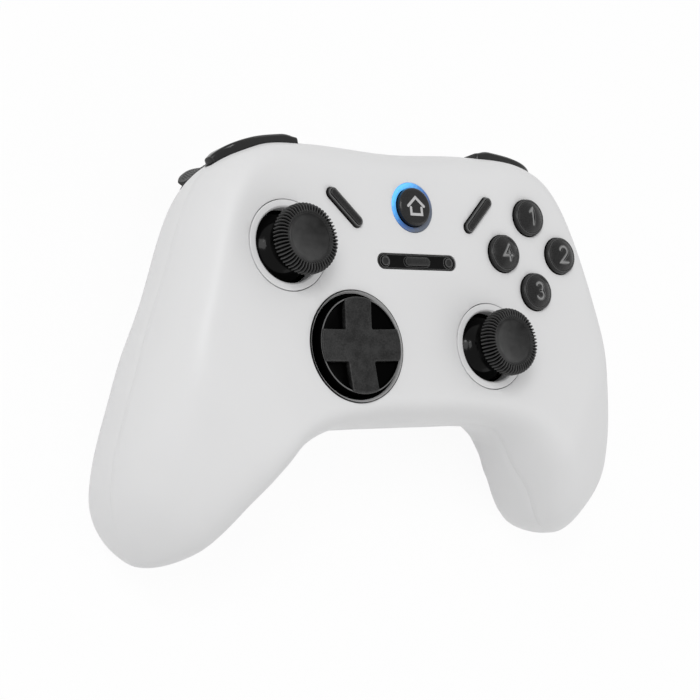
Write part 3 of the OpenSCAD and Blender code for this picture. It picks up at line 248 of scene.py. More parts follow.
def rounded(points, radius, steps=5, closed=True):
    """Polygon with its corners rounded, by one radius or one for each point."""
    points = [np.array(p, float) for p in points]
    count = len(points)
    radii = np.broadcast_to(radius, count)
    result = []
    for i, corner in enumerate(points):
        if not closed and i in (0, count - 1) or radii[i] <= 0:
            result.append(corner)
            continue
        a, b = points[i - 1] - corner, points[(i + 1) % count] - corner
        len_a, len_b = np.linalg.norm(a), np.linalg.norm(b)
        a, b = a / len_a, b / len_b
        half = math.acos(np.clip(a @ b, -1, 1)) / 2
        if half > math.radians(89.5):
            result.append(corner)
            continue
        back = min(radii[i] / math.tan(half), 0.48 * len_a, 0.48 * len_b)
        p, q = corner + a * back, corner + b * back
        for t in np.linspace(0, 1, steps + 1):
            result.append((1 - t) ** 2 * p + 2 * t * (1 - t) * corner + t * t * q)
    return result


def revolve(name, profile, at, sides=ROUND_SIDES, closed=False):
    """Solid turned about an upright line, from a profile of radius and height."""
    return loft(name, circle(0, sides), profile, at, closed=closed)


# Casing
def through(values, before, after, s):
    """Smooth curve through the values, at stations s."""
    table = np.array([before, *values, after], float).reshape(len(values) + 2, -1)
    i = np.minimum(s.astype(int), len(values) - 2)
    t = (s - i)[:, None]
    a, b, c, d = (table[i + k] for k in range(4))
    return b + 0.5 * t * (c - a + t * (2 * a - 5 * b + 4 * c - d + t * (3 * (b - c) + d - a)))


def mirrored(point):
    return (-point[0], point[1])


def outer_edge(s):
    return through(OUTER_EDGE, mirrored(OUTER_EDGE[1]), INNER_EDGE[-2], s)


def inner_edge(s):
    return through(INNER_EDGE, mirrored(INNER_EDGE[1]), OUTER_EDGE[-2], s)


def even(values, s):
    """Values at stations s, mirrored at the tip of the grip."""
    return through(values, values[1], values[-2], s)[:, 0]


def odd(values, s):
    """Values at stations s, which pass through nought at the tip of the grip."""
    return through(values, values[1], -values[-2], s)[:, 0]


def seam_z(s, up):
    return FACE_Z - even(SEAM_DEPTH, s) - (0 if up > 0 else SEAM_GAP)


def full_rise(s, up):
    """Height of the front above the seam, or of the back below it."""
    return odd((SEAM_DEPTH - FACE_FALL) if up > 0 else (BACK_DEPTH - SEAM_DEPTH), s)


def arch(s, up, inset, rim):
    """Points across the casing's front (up = 1) or back (up = -1) at stations s, set in by inset.
    rim lists the first points at either end, as distance in and height, each for all stations."""
    start, end = outer_edge(s), inner_edge(s)
    length = np.linalg.norm(end - start, axis=1)
    along = unit(end - start)
    room = length - 2 * inset
    outer_w = np.minimum(even(FRONT_ROUND if up > 0 else BACK_ROUND, s) - inset, MOST_ROUND * room)
    inner_w = np.minimum(even(INNER_ROUND if up > 0 else BACK_ROUND, s) - inset, MOST_ROUND * room)
    rise = full_rise(s, up)
    rise = np.maximum(rise - inset, 0.1 * rise)
    angle = np.radians(np.linspace(0, 90, EDGE_STEPS + 1))[1:]
    edge_in = 1 - np.cos(angle) ** (2 / EDGE_SQUARE)
    edge_up = np.sin(angle) ** (2 / EDGE_SQUARE)
    flat = np.arange(1, FLAT_STEPS) / FLAT_STEPS
    rim_in = [np.broadcast_to(d, s.shape) for d, _ in rim]
    rim_up = [np.broadcast_to(h, s.shape) for _, h in rim]
    across = np.concatenate([
        np.stack(rim_in, 1),
        inset[:, None] + outer_w[:, None] * edge_in,
        (inset + outer_w)[:, None] + (room - outer_w - inner_w)[:, None] * flat,
        (length - inset)[:, None] - inner_w[:, None] * edge_in[::-1],
        length[:, None] - np.stack(rim_in[::-1], 1)], 1)
    height = np.concatenate([
        np.stack(rim_up, 1), rise[:, None] * edge_up, np.repeat(rise[:, None], FLAT_STEPS - 1, 1),
        rise[:, None] * edge_up[::-1], np.stack(rim_up[::-1], 1)], 1)
    place = start[:, None, :] + along[:, None, :] * across[:, :, None]
    return np.concatenate([place, (seam_z(s, up)[:, None] + up * height)[:, :, None]], 2)


def half_shell(name, up):
    """Front or back of the casing as a closed hollow shell, with a stepped lip along the seam."""
    s = np.arange(0, LAST * STATION_ROWS) / STATION_ROWS
    length = np.linalg.norm(inner_edge(s) - outer_edge(s), axis=1)
    inset = np.minimum(WALL, 0.3 * length)
    rise = full_rise(s, up)
    step = up * np.minimum(SEAM_STEP, 0.2 * rise)
    lip = inset * (LIP if up > 0 else LIP + LIP_PLAY)
    bevel = np.minimum(SEAM_BEVEL, 0.1 * rise)
    skin = arch(s, up, 0 * s, [(lip, 0), (bevel, 0), (0.3 * bevel, 0.3 * bevel), (0, bevel)])
    lining = arch(s, up, inset, [(lip, step), (inset, step)])
    loops = np.concatenate([skin, lining[:, ::-1]], 1)
    loops[:, :, 2] = np.maximum(loops[:, :, 2], 0)
    loops = np.concatenate([loops[:0:-1] * (-1, 1, 1), loops])
    count, sides = loops.shape[:2]
    tip = np.array([*OUTER_EDGE[-1], *seam_z(np.array([float(LAST)]), up)])
    verts = np.concatenate([loops.reshape(-1, 3), [tip * (-1, 1, 1), tip]])
    faces = bridge(count, sides)
    last_row = (count - 1) * sides
    for c in range(sides):
        d = (c + 1) % sides
        faces.append((count * sides, d, c))
        faces.append((count * sides + 1, last_row + c, last_row + d))
    return clean(mesh_object(name, verts, faces))


HOLE_FILLET = 0.18
HOLE_DEPTH = 8
FILLET_RISE = 0.02


def hole(outline, gap, at, turn=0):
    """Cutter for a hole through the face, with a rounded edge."""
    top, fillet = FACE_Z + FILLET_RISE, HOLE_FILLET
    profile = [(gap, FACE_Z - HOLE_DEPTH)]
    profile += [(gap + fillet * (1 - math.cos(a)), top - fillet + fillet * math.sin(a))
                for a in np.radians(np.linspace(0, 90, 7))]
    profile.append((gap + fillet, FACE_Z + HOLE_DEPTH))
    return loft("cutter", outline, profile, at, turn)


def moved(obj, change):
    """Passes the mesh points of obj, in millimetres, through change."""
    points = np.array([v.co for v in obj.data.vertices]) / MM
    obj.data.vertices.foreach_set("co", (change(points) * MM).astype(np.float32).ravel())
    return obj


def along_y(points):
    """Turns what stands upright so that it lies along Y."""
    return points[:, [0, 2, 1]] * (1, 1, -1)


def along_x(points):
    """Turns what stands upright so that it lies along X."""
    return points[:, [2, 0, 1]]


# Materials
class Nodes:
    """Node tree that is added to."""

    def __init__(self, tree):
        self.tree = tree

    def add(self, kind, inputs=None, **settings):
        node = self.tree.nodes.new(kind)
        for key, value in settings.items():
            setattr(node, key, value)
        for key, value in (inputs or {}).items():
            self.put(value, node.inputs[key])
        return node

    def put(self, value, socket):
        if isinstance(value, bpy.types.NodeSocket):
            self.tree.links.new(value, socket)
        else:
            socket.default_value = value

    def looked_at(self):
        """One for rays from the camera, reflections and transmissions, nought for other rays."""
        path = self.add("ShaderNodeLightPath").outputs
        total = path["Is Camera Ray"]
        for name in ("Is Glossy Ray", "Is Transmission Ray"):
            total = self.add("ShaderNodeMath", {0: total, 1: path[name]}, operation="MAXIMUM").outputs[0]
        return total


class Shader(Nodes):
    """Node tree of one material, with its principled shader."""

    def __init__(self, name):
        self.material = bpy.data.materials.new(name)
        self.material.use_nodes = True
        super().__init__(self.material.node_tree)
        self.principled = self.tree.nodes["Principled BSDF"]
        self.place = self.add("ShaderNodeTexCoord").outputs["Object"]

    def set(self, **sockets):
        for key, value in sockets.items():
            self.put(value, self.principled.inputs[key.replace("_", " ")])
        return self

    def noise(self, grain, detail=2.0):
        """Noise with grains of that size in millimetres."""
        node = self.add("ShaderNodeTexNoise", {
            "Vector": self.place, "Scale": 1 / (grain * MM), "Detail": detail})
        return node.outputs["Fac"]

    def plus(self, a, b, **settings):
        return self.add("ShaderNodeMath", {0: a, 1: b}, operation="ADD", **settings).outputs[0]

    def ranged(self, value, low, high, out_low, out_high):
        node = self.add("ShaderNodeMapRange", {
            "Value": value, "From Min": low, "From Max": high, "To Min": out_low, "To Max": out_high})
        return node.outputs["Result"]

    def closeness(self, reach, **settings):
        """One in the open, less where faces come within reach in millimetres."""
        node = self.add("ShaderNodeAmbientOcclusion", {"Distance": reach * MM}, samples=8, **settings)
        return node.outputs["AO"]

    def mixed(self, share, a, b):
        node = self.add("ShaderNodeMix", data_type="RGBA")
        for index, value in ((0, share), (6, a), (7, b)):
            self.put(value, node.inputs[index])
        return node.outputs[2]

    def bump(self, height, depth):
        """Relief whose full height is depth in millimetres."""
        node = self.add("ShaderNodeBump", {"Height": height, "Distance": depth * MM, "Strength": 1.0})
        self.put(node.outputs["Normal"], self.principled.inputs["Normal"])
        return self


def grey(value, blue=1):
    return (value, value, value * blue, 1)


def shade(colour, factor):
    return (*(c * factor for c in colour[:3]), 1)


def plastic(name, colour, rough, grain, relief, spread=0.08, specular=0.5, patch=14):
    """Moulded plastic: a grain in the relief, and patches that differ a little in colour and gloss."""
    shader = Shader(name)
    fine = shader.noise(grain, 3)
    wide = shader.noise(patch, 2)
    patches = shader.ranged(wide, 0.35, 0.65, 0, 1)
    shader.set(Base_Color=shader.mixed(patches, shade(colour, 1 - spread), shade(colour, 1 + spread)))
    shader.set(Roughness=shader.ranged(shader.plus(fine, wide), 0.7, 1.3, rough * 0.88, rough * 1.12))
    shader.set(Specular_IOR_Level=specular)
    return shader.bump(fine, relief)


# Name of the mesh attribute that holds the painted highlight and painted shade on the stick caps
PAINTED_LIGHT_ATTRIBUTE = "painted_light"
PATCH = 2.5


def rubber_with_painted_light(name, rough, grain, relief):
    """Black rubber whose colour and gloss follow the painted light attribute: painted shade in the grooves, a
    painted highlight on the ribs.
    """
    shader = Shader(name)
    fine = shader.noise(grain, 3)
    painted_light = shader.add("ShaderNodeAttribute", attribute_name=PAINTED_LIGHT_ATTRIBUTE).outputs["Fac"]
    patchy = shader.ranged(shader.noise(PATCH, 2), 0.3, 0.7, -0.08, 0.08)
    painted_light = shader.plus(painted_light, patchy, use_clamp=True)
    # Painted shade (dark, no gloss) where the attribute is low, painted highlight where it is high, with
    # random patches
    shader.set(Base_Color=shader.mixed(painted_light, grey(0.0005), grey(0.05)))
    shader.set(Roughness=shader.ranged(fine, 0.3, 0.7, rough * 0.85, rough * 1.15))
    shader.set(Specular_IOR_Level=shader.ranged(painted_light, 0, 1, 0.0, 0.4))
    return shader.bump(fine, relief)


# Reach of the painted shade in corners and of the painted highlight along edges, in millimetres
SHADE_REACH, EDGE_HIGHLIGHT_REACH = 0.7, 0.3


def black(name, level, edge, rough, grain, relief, specular, spread=0.3):
    """Black plastic: painted shade darkens it in its corners and dulls its gloss there, a painted highlight
    makes it paler along its edges, and a grain is in the relief.
    """
    shader = Shader(name)
    fine = shader.noise(grain, 3)
    patch = shader.ranged(shader.plus(shader.noise(PATCH, 3), fine), 0.75, 1.25, 0, 1)
    # Painted shade: occlusion darkens the colour in corners to a tenth of the level and takes the gloss away
    # there
    corner = shader.closeness(SHADE_REACH)
    inside = shader.closeness(EDGE_HIGHLIGHT_REACH, inside=True, only_local=True)
    clear = shader.ranged(corner, 0.4, 0.95, 0, 1)
    body = shader.mixed(patch, grey(level * (1 - spread)), grey(level * (1 + spread)))
    # Painted highlight: where the inside occlusion finds an edge, the colour is mixed towards the paler edge
    # level
    lit_and_shaded = shader.mixed(shader.ranged(inside, 0.95, 0.55, 0, 1), body, grey(edge))
    shader.set(Base_Color=shader.mixed(clear, grey(level * 0.1), lit_and_shaded))
    shader.set(Roughness=shader.ranged(fine, 0.3, 0.7, rough * 0.85, rough * 1.15))
    shader.set(Specular_IOR_Level=shader.ranged(clear, 0, 1, 0.0, specular))
    return shader.bump(fine, relief)


def metal(name, colour, rough, streak):
    """Bare metal with fine drawn streaks."""
    shader = Shader(name)
    stretch = shader.add("ShaderNodeMapping", {"Vector": shader.place, "Scale": (1, 1, 0.08)})
    shader.place = stretch.outputs["Vector"]
    fine = shader.noise(streak, 4)
    shader.set(Base_Color=shader.mixed(fine, shade(colour, 0.85), colour), Metallic=1.0)
    shader.set(Roughness=shader.ranged(fine, 0.3, 0.7, rough * 0.8, rough * 1.2))
    return shader.bump(fine, 0.01)


GLOW_SIDE = (-0.72, 0.69)


def glow(name):
    """Light pipe, brightest at its upper left, with specks where the light leaves it."""
    shader = Shader(name)
    centre = (HOME_AT[0] * MM, HOME_AT[1] * MM, FACE_Z * MM)
    toward = (GLOW_SIDE[0] / (LIGHT_R * MM), GLOW_SIDE[1] / (LIGHT_R * MM), 0)
    away = shader.add("ShaderNodeVectorMath", {0: shader.place, 1: centre}, operation="SUBTRACT").outputs[0]
    side = shader.add("ShaderNodeVectorMath", {0: away, 1: toward}, operation="DOT_PRODUCT").outputs["Value"]
    specks = shader.ranged(shader.noise(0.8, 3), 0.3, 0.7, -0.12, 0.12)
    share = shader.ranged(shader.plus(side, specks), -0.75, 0.85, 0, 1)
    ramp = shader.add("ShaderNodeValToRGB", {"Fac": share})
    stops = ramp.color_ramp.elements
    stops[0].color = (0.10, 0.12, 0.16, 1)
    stops[1].color = (0.10, 0.42, 0.86, 1)
    stops.new(0.45).color = (0.05, 0.13, 0.36, 1)
    colour = ramp.outputs["Color"]
    shader.set(Base_Color=colour, Roughness=0.3, Emission_Color=colour)
    shader.set(Emission_Strength=shader.ranged(share, 0, 1, 0.05, 0.75))
    return shader.bump(shader.noise(0.5, 2), 0.01)


def board(name):
    """Circuit board: green mask over tracks."""
    shader = Shader(name)
    tracks = shader.add("ShaderNodeTexBrick", {
        "Vector": shader.place, "Scale": 90.0, "Color1": (0.01, 0.09, 0.035, 1),
        "Color2": (0.012, 0.11, 0.045, 1), "Mortar": (0.02, 0.2, 0.08, 1), "Mortar Size": 0.03})
    shader.set(Base_Color=tracks.outputs["Color"])
    shader.set(Roughness=shader.ranged(shader.noise(2), 0.3, 0.7, 0.25, 0.4))
    return shader.bump(tracks.outputs["Fac"], 0.03)


# Materials by name: colour or level, for black also the level of the painted highlight on its edges,
# roughness, grain, relief, and the rest
SHELL = plastic("shell_white", grey(0.74, 1.005), 0.46, 0.35, 0.004, 0.008, 0.4, patch=30)
RING = plastic("ring_white", grey(0.76, 1.005), 0.38, 0.35, 0.003, 0.008, 0.4)
RUBBER = rubber_with_painted_light("stick_rubber", 0.42, 0.2, 0.012)
DOME = plastic("stick_dome_gloss", grey(0.002), 0.13, 0.6, 0.002, 0.1, 0.1)
PAD = black("pad_satin", 0.016, 0.12, 0.34, 0.4, 0.08, 0.2, 0.7)
DISH = plastic("pad_dish_gloss", grey(0.001), 0.25, 0.5, 0.002, 0.1, 0.01)
# Grey of the bead on the pad's rim: a painted highlight
RIM_HIGHLIGHT = plastic("pad_rim_painted_highlight", grey(0.12), 0.3, 0.3, 0.002, 0.1, 0.4)
PAD_RING = plastic("pad_ring_gloss", grey(0.006), 0.2, 0.8, 0.001, 0.08, 0.2)
# Grey of the pad ring's slope: a painted reflection on glossy black
SLOPE_REFLECTION = plastic("pad_slope_painted_reflection", grey(0.5), 0.3, 0.5, 0.002, 0.06, 0.5)
BUTTON = black("button_gloss", 0.01, 0.22, 0.28, 0.3, 0.003, 0.22)
BEZEL = black("bar_bezel_gloss", 0.003, 0.2, 0.25, 0.4, 0.002, 0.06)
BUTTON_MARK = plastic("button_mark_grey", grey(0.24), 0.45, 0.3, 0.003, 0.06, 0.3)
MARK = plastic("mark_pale", grey(0.5), 0.4, 0.3, 0.003, 0.05)
HOME = black("home_gloss", 0.01, 0.15, 0.25, 0.4, 0.002, 0.25)
BUMPER = black("bumper_gloss", 0.012, 0.12, 0.14, 0.9, 0.0015, 0.25, 0.1)
TRIGGER = black("trigger_matt", 0.012, 0.08, 0.45, 0.3, 0.01, 0.25, 0.1)
INNER = plastic("inner_plastic", grey(0.06), 0.5, 0.4, 0.006, 0.08)
SILICONE = plastic("silicone", grey(0.35), 0.6, 0.3, 0.008, 0.05)
WRAP = plastic("battery_wrap", (0.03, 0.12, 0.3, 1), 0.28, 2.0, 0.01, 0.05)
STEEL = metal("steel", grey(0.62), 0.3, 0.3)
WEIGHT = metal("weight_metal", grey(0.42), 0.42, 0.4)
BOARD = board("board_green")
LIGHT = glow("light_blue")


# Room for the shoulder controls and the socket
def shoulder_out(s):
    """Way out of the casing at stations s of its outer edge."""
    step = outer_edge(s + 0.01) - outer_edge(s - 0.01)
    return unit(np.stack([-step[:, 1], step[:, 0]], 1))


def shoulder_loft(name, side, s, profiles):
    """Solid along the shoulder whose rings are profiles of distance out and height, one for each s."""
    profiles = np.asarray(profiles, float)
    plan = outer_edge(s)[:, None, :] + shoulder_out(s)[:, None, :] * profiles[:, :, :1]
    rings = np.concatenate([plan, profiles[:, :, 1:]], 2) * (side, 1, 1)
    return clean(mesh_object(name, rings.reshape(-1, 3), capped(*rings.shape[:2])))


BUMPER_FROM, BUMPER_FULL_FROM, BUMPER_RISE_FROM, BUMPER_FALL_FROM = 1.2, 1.45, 1.85, 1.95
BUMPER_FLARE_FROM, BUMPER_TO = 2.2, 2.68
BUMPER_OUT, BUMPER_FLARE, BUMPER_IN, BUMPER_SWING = 1.6, 0.5, 4, 1.3
BUMPER_START_GAP, BUMPER_END_GAP, OPENING_OUT = 0.03, 0.06, 12
BUMPER_HIGH, BUMPER_FALL, BUMPER_LOW, BUMPER_RISE = 41, 5.5, 24.3, 9
BUMPER_PIVOT, BUMPER_BORE_R, BUMPER_BOSS_R, BUMPER_ARM_H, BUMPER_ARM_W = (25, 39.3), 1.05, 2.6, 8, 2
ARM_HALF, ARM_REACH = 1.6, 5
TRIGGER_FROM, TRIGGER_RISE_FROM, TRIGGER_TO = 1.3, 1.7, 2.55
TRIGGER_TOE, TRIGGER_RISE, TRIGGER_DRAW_IN = 5.5, 10, 2.2
TRIGGER_TOP = BUMPER_LOW - SHOULDER_GAP
TRIGGER_PIVOT = (33, 21)
TRIGGER_ROOM_FROM = 1
PAST_TOP, BELOW_FLOOR = 80, -10
DRUM_R, DRUM_END_R = 10.2, 4.6
TRIGGER_NEAR = outer_edge(np.array([TRIGGER_FROM]))[0, 0] - 1
TRIGGER_FAR = outer_edge(np.array([TRIGGER_TO]))[0, 0] + 1


def past(s, start, end):
    """Nought up to the start, rising evenly to one at the end."""
    return np.maximum(0, s - start) / (end - start)


def bumper_low(s):
    return BUMPER_LOW + BUMPER_RISE * past(s, BUMPER_RISE_FROM, BUMPER_TO) ** 1.35


def bumper_high(s):
    return BUMPER_HIGH - BUMPER_FALL * past(s, BUMPER_FALL_FROM, BUMPER_TO) ** 2.6


def bumper_opening(side):
    """Cutter for the room of a bumper, pressed or not."""
    s = np.linspace(BUMPER_FROM - BUMPER_START_GAP, BUMPER_TO + BUMPER_END_GAP, 40)
    back = -BUMPER_IN - BUMPER_SWING
    highs = bumper_high(s - BUMPER_END_GAP) + SHOULDER_GAP
    lows = bumper_low(s - BUMPER_END_GAP) - SHOULDER_GAP
    profiles = [
        [(back, high), (OPENING_OUT, high), (OPENING_OUT, low), (back, low)]
        for high, low in zip(highs, lows)]
    return shoulder_loft("cutter", side, s, profiles)


def drum_radius(x):
    return DRUM_R + (DRUM_END_R - DRUM_R) * (x - TRIGGER_NEAR) / (TRIGGER_FAR - TRIGGER_NEAR)


def drum_cutter(side):
    """Cone about the line of a trigger's pin."""
    profile = [(drum_radius(x) + SHOULDER_GAP, x) for x in (TRIGGER_NEAR, TRIGGER_FAR)]
    obj = revolve("cutter", profile, (0, 0))
    return clean(moved(obj, lambda p: along_x(p) * (side, 1, 1) + (0, *TRIGGER_PIVOT)))


def prism(name, plan, low, high):
    """Upright solid over a polygon."""
    plan = np.array(plan)
    return loft(name, (plan, np.zeros_like(plan)), [(0, low), (0, high)])


def trigger_opening(side):
    """Cutters for the room of a trigger: a box in front of its pin, and its drum."""
    left, right = sorted((side * TRIGGER_NEAR, side * TRIGGER_FAR))
    near, far = TRIGGER_PIVOT[0] + TRIGGER_ROOM_FROM, PAST_TOP
    plan = [(left, near), (right, near), (right, far), (left, far)]
    room = prism("cutter", plan, BELOW_FLOOR, TRIGGER_TOP + SHOULDER_GAP)
    return [room, drum_cutter(side)]


def socket_cutter():
    profile = [(SOCKET_GAP, SOCKET_Y - SOCKET_IN), (SOCKET_GAP, PAST_TOP)]
    obj = loft("cutter", capsule(SOCKET_L, SOCKET_W), profile)
    return clean(moved(obj, lambda p: along_y(p) + (0, 0, SOCKET_Z)))


# Shells
SCREWS = [((60, -2), 14), ((-60, -2), 14), ((61, -40), 8), ((-61, -40), 8), ((0, -12), 8)]
SCREW_HOLE_R = 2.6


def front_shell():
    cutters = [hole(circle(STICK_RING_R), SLIDE_GAP, p) for p in STICK_AT.values()]
    cutters.append(hole(circle(PAD_RING_R), SEAT_GAP, PAD_AT))
    cutters += [hole(circle(BUTTON_R), SLIDE_GAP, p) for p in BUTTON_AT]
    cutters.append(hole(circle(LIGHT_R), SEAT_GAP, HOME_AT))
    for side, sign in SIDES.items():
        cutters.append(hole(capsule(SLIM_L, SLIM_W), SLIDE_GAP, SLIM_AT[side], sign * SLIM_SLANT))
    cutters.append(hole(capsule(BAR_L, BAR_W), SEAT_GAP, BAR_AT))
    cutters.append(socket_cutter())
    cutters += [bumper_opening(sign) for sign in SIDES.values()]
    shell = carve(half_shell("front_shell_skin", 1), cutters)
    return piece(clean(shell), "casing", ["front_shell"], SHELL)


def back_shell():
    cutters = [socket_cutter()]
    for side in SIDES.values():
        cutters += [bumper_opening(side), *trigger_opening(side)]
    for place, seat in SCREWS:
        cutters.append(revolve("cutter", [(SCREW_HOLE_R, BELOW_FLOOR), (SCREW_HOLE_R, seat)], place, 48))
    shell = carve(half_shell("back_shell_skin", -1), cutters)
    return piece(clean(shell), "casing", ["back_shell"], SHELL)


front_shell()
back_shell()


# Sticks
KNURLS = 56
KNURL_STEPS = 10
KNURL_DEPTH = 0.7
# Painted light on the caps: its level on the plain band and dish, how much lighter one side of the dish is
# painted, and that side in degrees
PLAIN_PAINTED_LIGHT, DISH_PAINTED_LIGHT = 0.5, 0.25
DISH_LIT_TOWARD = 235
CAP_R, CAP_DISH_R, CAP_LOW, CAP_HIGH = 8.6, 5.8, 5, 9.4
CAP_DISH_Z, CAP_DISH_RISE, CAP_STEP = FACE_Z + CAP_HIGH - 1.3, 0.85, 0.35
STEM_R, NECK_R, DOME_R, DOME_WALL = 1.9, 4.2, 11.2, 1
TILT_Z = FACE_Z - 11


def stick_ring(side, at):
    profile = rounded([
        (STICK_HOLE_R, FLANGE_LOW), (STICK_HOLE_R, FACE_Z - 0.3), (STICK_HOLE_R + 0.4, FACE_Z + 0.1),
        (STICK_RING_R, FACE_Z + 0.1), (STICK_RING_R, FLANGE_HIGH), (STICK_RING_R + 0.9, FLANGE_HIGH),
        (STICK_RING_R + 0.9, FLANGE_LOW)], 0.15)
    ring = revolve(f"{side}_stick_ring_face", profile, at, 128, closed=True)
    piece(ring, "casing", [f"{side}_stick_ring"], RING)


def stick_dome(side, at):
    """Glossy dome and neck, which close the hole at every tilt."""
    def polar(radius, angles):
        return [(radius * math.sin(a), TILT_Z + radius * math.cos(a)) for a in np.radians(angles)]
    neck_top = FACE_Z + CAP_LOW + 0.3
    profile = polar(DOME_R - DOME_WALL, (72, 60, 45, 30, 20))
    profile += [(STEM_R, TILT_Z + 9), (STEM_R, neck_top), (NECK_R, neck_top)]
    profile += [(NECK_R, FACE_Z + 1.6), (NECK_R + 0.25, FACE_Z + 0.8), (NECK_R + 0.7, FACE_Z - 0.4)]
    profile += polar(DOME_R, np.linspace(30, 72, 15))
    dome = revolve(f"{side}_stick_dome", profile, at, 96, closed=True)
    piece(dome, f"{side}_stick", [], DOME)


def cap_profile():
    """Half section of a cap, from the middle of its underside round to the middle of its dish."""
    low, high, edge = FACE_Z + CAP_LOW, FACE_Z + CAP_HIGH, CAP_DISH_R - 0.45
    profile = rounded([
        (0, low), (CAP_R - 0.6, low), (CAP_R - 0.5, low + 0.6), (CAP_R - 0.5, low + 0.65), (CAP_R, low + 1),
        (CAP_R, high - 1.3), (CAP_R - 0.8, high - 0.1), (CAP_DISH_R + 0.5, high),
        (CAP_DISH_R + 0.15, high - 0.7), (CAP_DISH_R - 0.15, high - 0.7), (edge, high - 0.45)],
        [0, 0.25, 0, 0, 0.2, 1.4, 1.0, 0.25, 0.08, 0.08, 0.2], 6, closed=False)
    for radius in np.linspace(edge, 0, 14)[1:]:
        profile.append(np.array([radius, CAP_DISH_Z + CAP_DISH_RISE * (radius / edge) ** 2]))
    dense = [profile[0]]
    for start, end in zip(profile[:-1], profile[1:]):
        parts = max(1, int(np.linalg.norm(end - start) / CAP_STEP))
        dense += [start + (end - start) * k / parts for k in range(1, parts + 1)]
    return np.array(dense[:-1])


def cap_painted_light(profile, ribbed, groove, angle):
    """Painted light of a cap: a full painted highlight on the ribs, painted shade in the grooves, an even
    level in the dish but painted lighter towards one side.
    """
    radius = profile[:, :1]
    plain = np.where(profile[:, 1:] < FACE_Z + CAP_LOW + 1, 0, PLAIN_PAINTED_LIGHT)
    in_dish = np.where(radius < CAP_DISH_R, radius / CAP_DISH_R, 0) * (plain > 0)
    plain = plain + DISH_PAINTED_LIGHT * in_dish * np.cos(angle - math.radians(DISH_LIT_TOWARD))
    lit_and_shaded = plain * (1 - ribbed) + ribbed * (1 - groove) ** 1.5
    return np.append(lit_and_shaded.ravel(), PLAIN_PAINTED_LIGHT).astype(np.float32)


def stick_cap(side, at):
    """Cap with a ribbed rim, a smooth dish and a smooth band below the ribs."""
    profile = cap_profile()
    step = np.gradient(profile, axis=0)
    out = np.stack([step[:, 1], -step[:, 0]], 1)
    out /= np.maximum(np.linalg.norm(out, axis=1), 1e-9)[:, None]
    up_side = np.clip((profile[:, 1:] - FACE_Z - CAP_LOW - 0.6) / 0.4, 0, 1)
    from_dish = np.clip((profile[:, :1] - CAP_DISH_R - 0.3) / 0.5, 0, 1)
    ribbed = up_side * from_dish
    sides = KNURLS * KNURL_STEPS
    angle = np.arange(sides) * 2 * math.pi / sides
    groove = (1 + np.cos(KNURLS * angle)) / 2
    shape = profile[:, None, :] - out[:, None, :] * (KNURL_DEPTH * ribbed * groove)[:, :, None]
    radius, height = shape[:, :, 0], shape[:, :, 1]
    verts = np.stack([at[0] + radius * np.cos(angle), at[1] + radius * np.sin(angle), height], 2)
    faces = bridge(len(profile), sides)
    top = len(profile) * sides
    verts = np.concatenate([verts.reshape(-1, 3), [[*at, CAP_DISH_Z]]])
    faces += [(top - sides + c, top - sides + (c + 1) % sides, top) for c in range(sides)]
    cap = mesh_object(f"{side}_stick_cap_ribbed", verts, faces)
    # Painted highlight on the ribs and painted shade in the grooves, stored on the points
    painted_light = cap.data.attributes.new(PAINTED_LIGHT_ATTRIBUTE, "FLOAT", "POINT")
    painted_light.data.foreach_set("value", cap_painted_light(profile, ribbed, groove, angle))
    clean(cap, 60)
    piece(cap, f"{side}_stick", [f"{side}_stick_cap"], RUBBER)


for stick_side, stick_at in STICK_AT.items():
    stick_ring(stick_side, stick_at)
    stick_dome(stick_side, stick_at)
    stick_cap(stick_side, stick_at)


# Pad
PAD_ARM_W, PAD_ARM_L, PAD_ARM_H, PAD_HOLLOW = 8, 11.9, 2.3, 1
PAD_R, PAD_DISH_R, PAD_RIM_H, PAD_UNDER, PAD_SKIRT = 12, 9.5, 1.7, 2, 4.5


def pad_ring():
    """Black ring, and the slope inside its rim, whose grey is a painted reflection."""
    rim = PAD_RING_R - 0.15
    profile = rounded([
        (PAD_HOLE_R, FLANGE_LOW), (PAD_HOLE_R, FACE_Z - 1.6), (rim - 0.1, FACE_Z + 0.1), (rim, FACE_Z + 0.3),
        (PAD_RING_R, FACE_Z + 0.3), (PAD_RING_R, FLANGE_LOW)], [0.1, 0.1, 0, 0.05, 0.08, 0.1])
    ring = revolve("pad_ring_rim", profile, PAD_AT, 160, closed=True)
    piece(ring, "casing", ["pad_ring"], PAD_RING)
    # The slope is painted grey as a painted reflection of the white surroundings
    slope = rounded([
        (rim - 0.6, FACE_Z - 0.62), (rim - 0.62, FACE_Z - 0.45),
        (rim - 0.04, FACE_Z + 0.28), (rim - 0.01, FACE_Z + 0.15)], [0.02, 0.05, 0.05, 0.02], 3)
    bevel = revolve("pad_ring_slope", slope, PAD_AT, 160, closed=True)
    piece(bevel, "casing", [], SLOPE_REFLECTION)


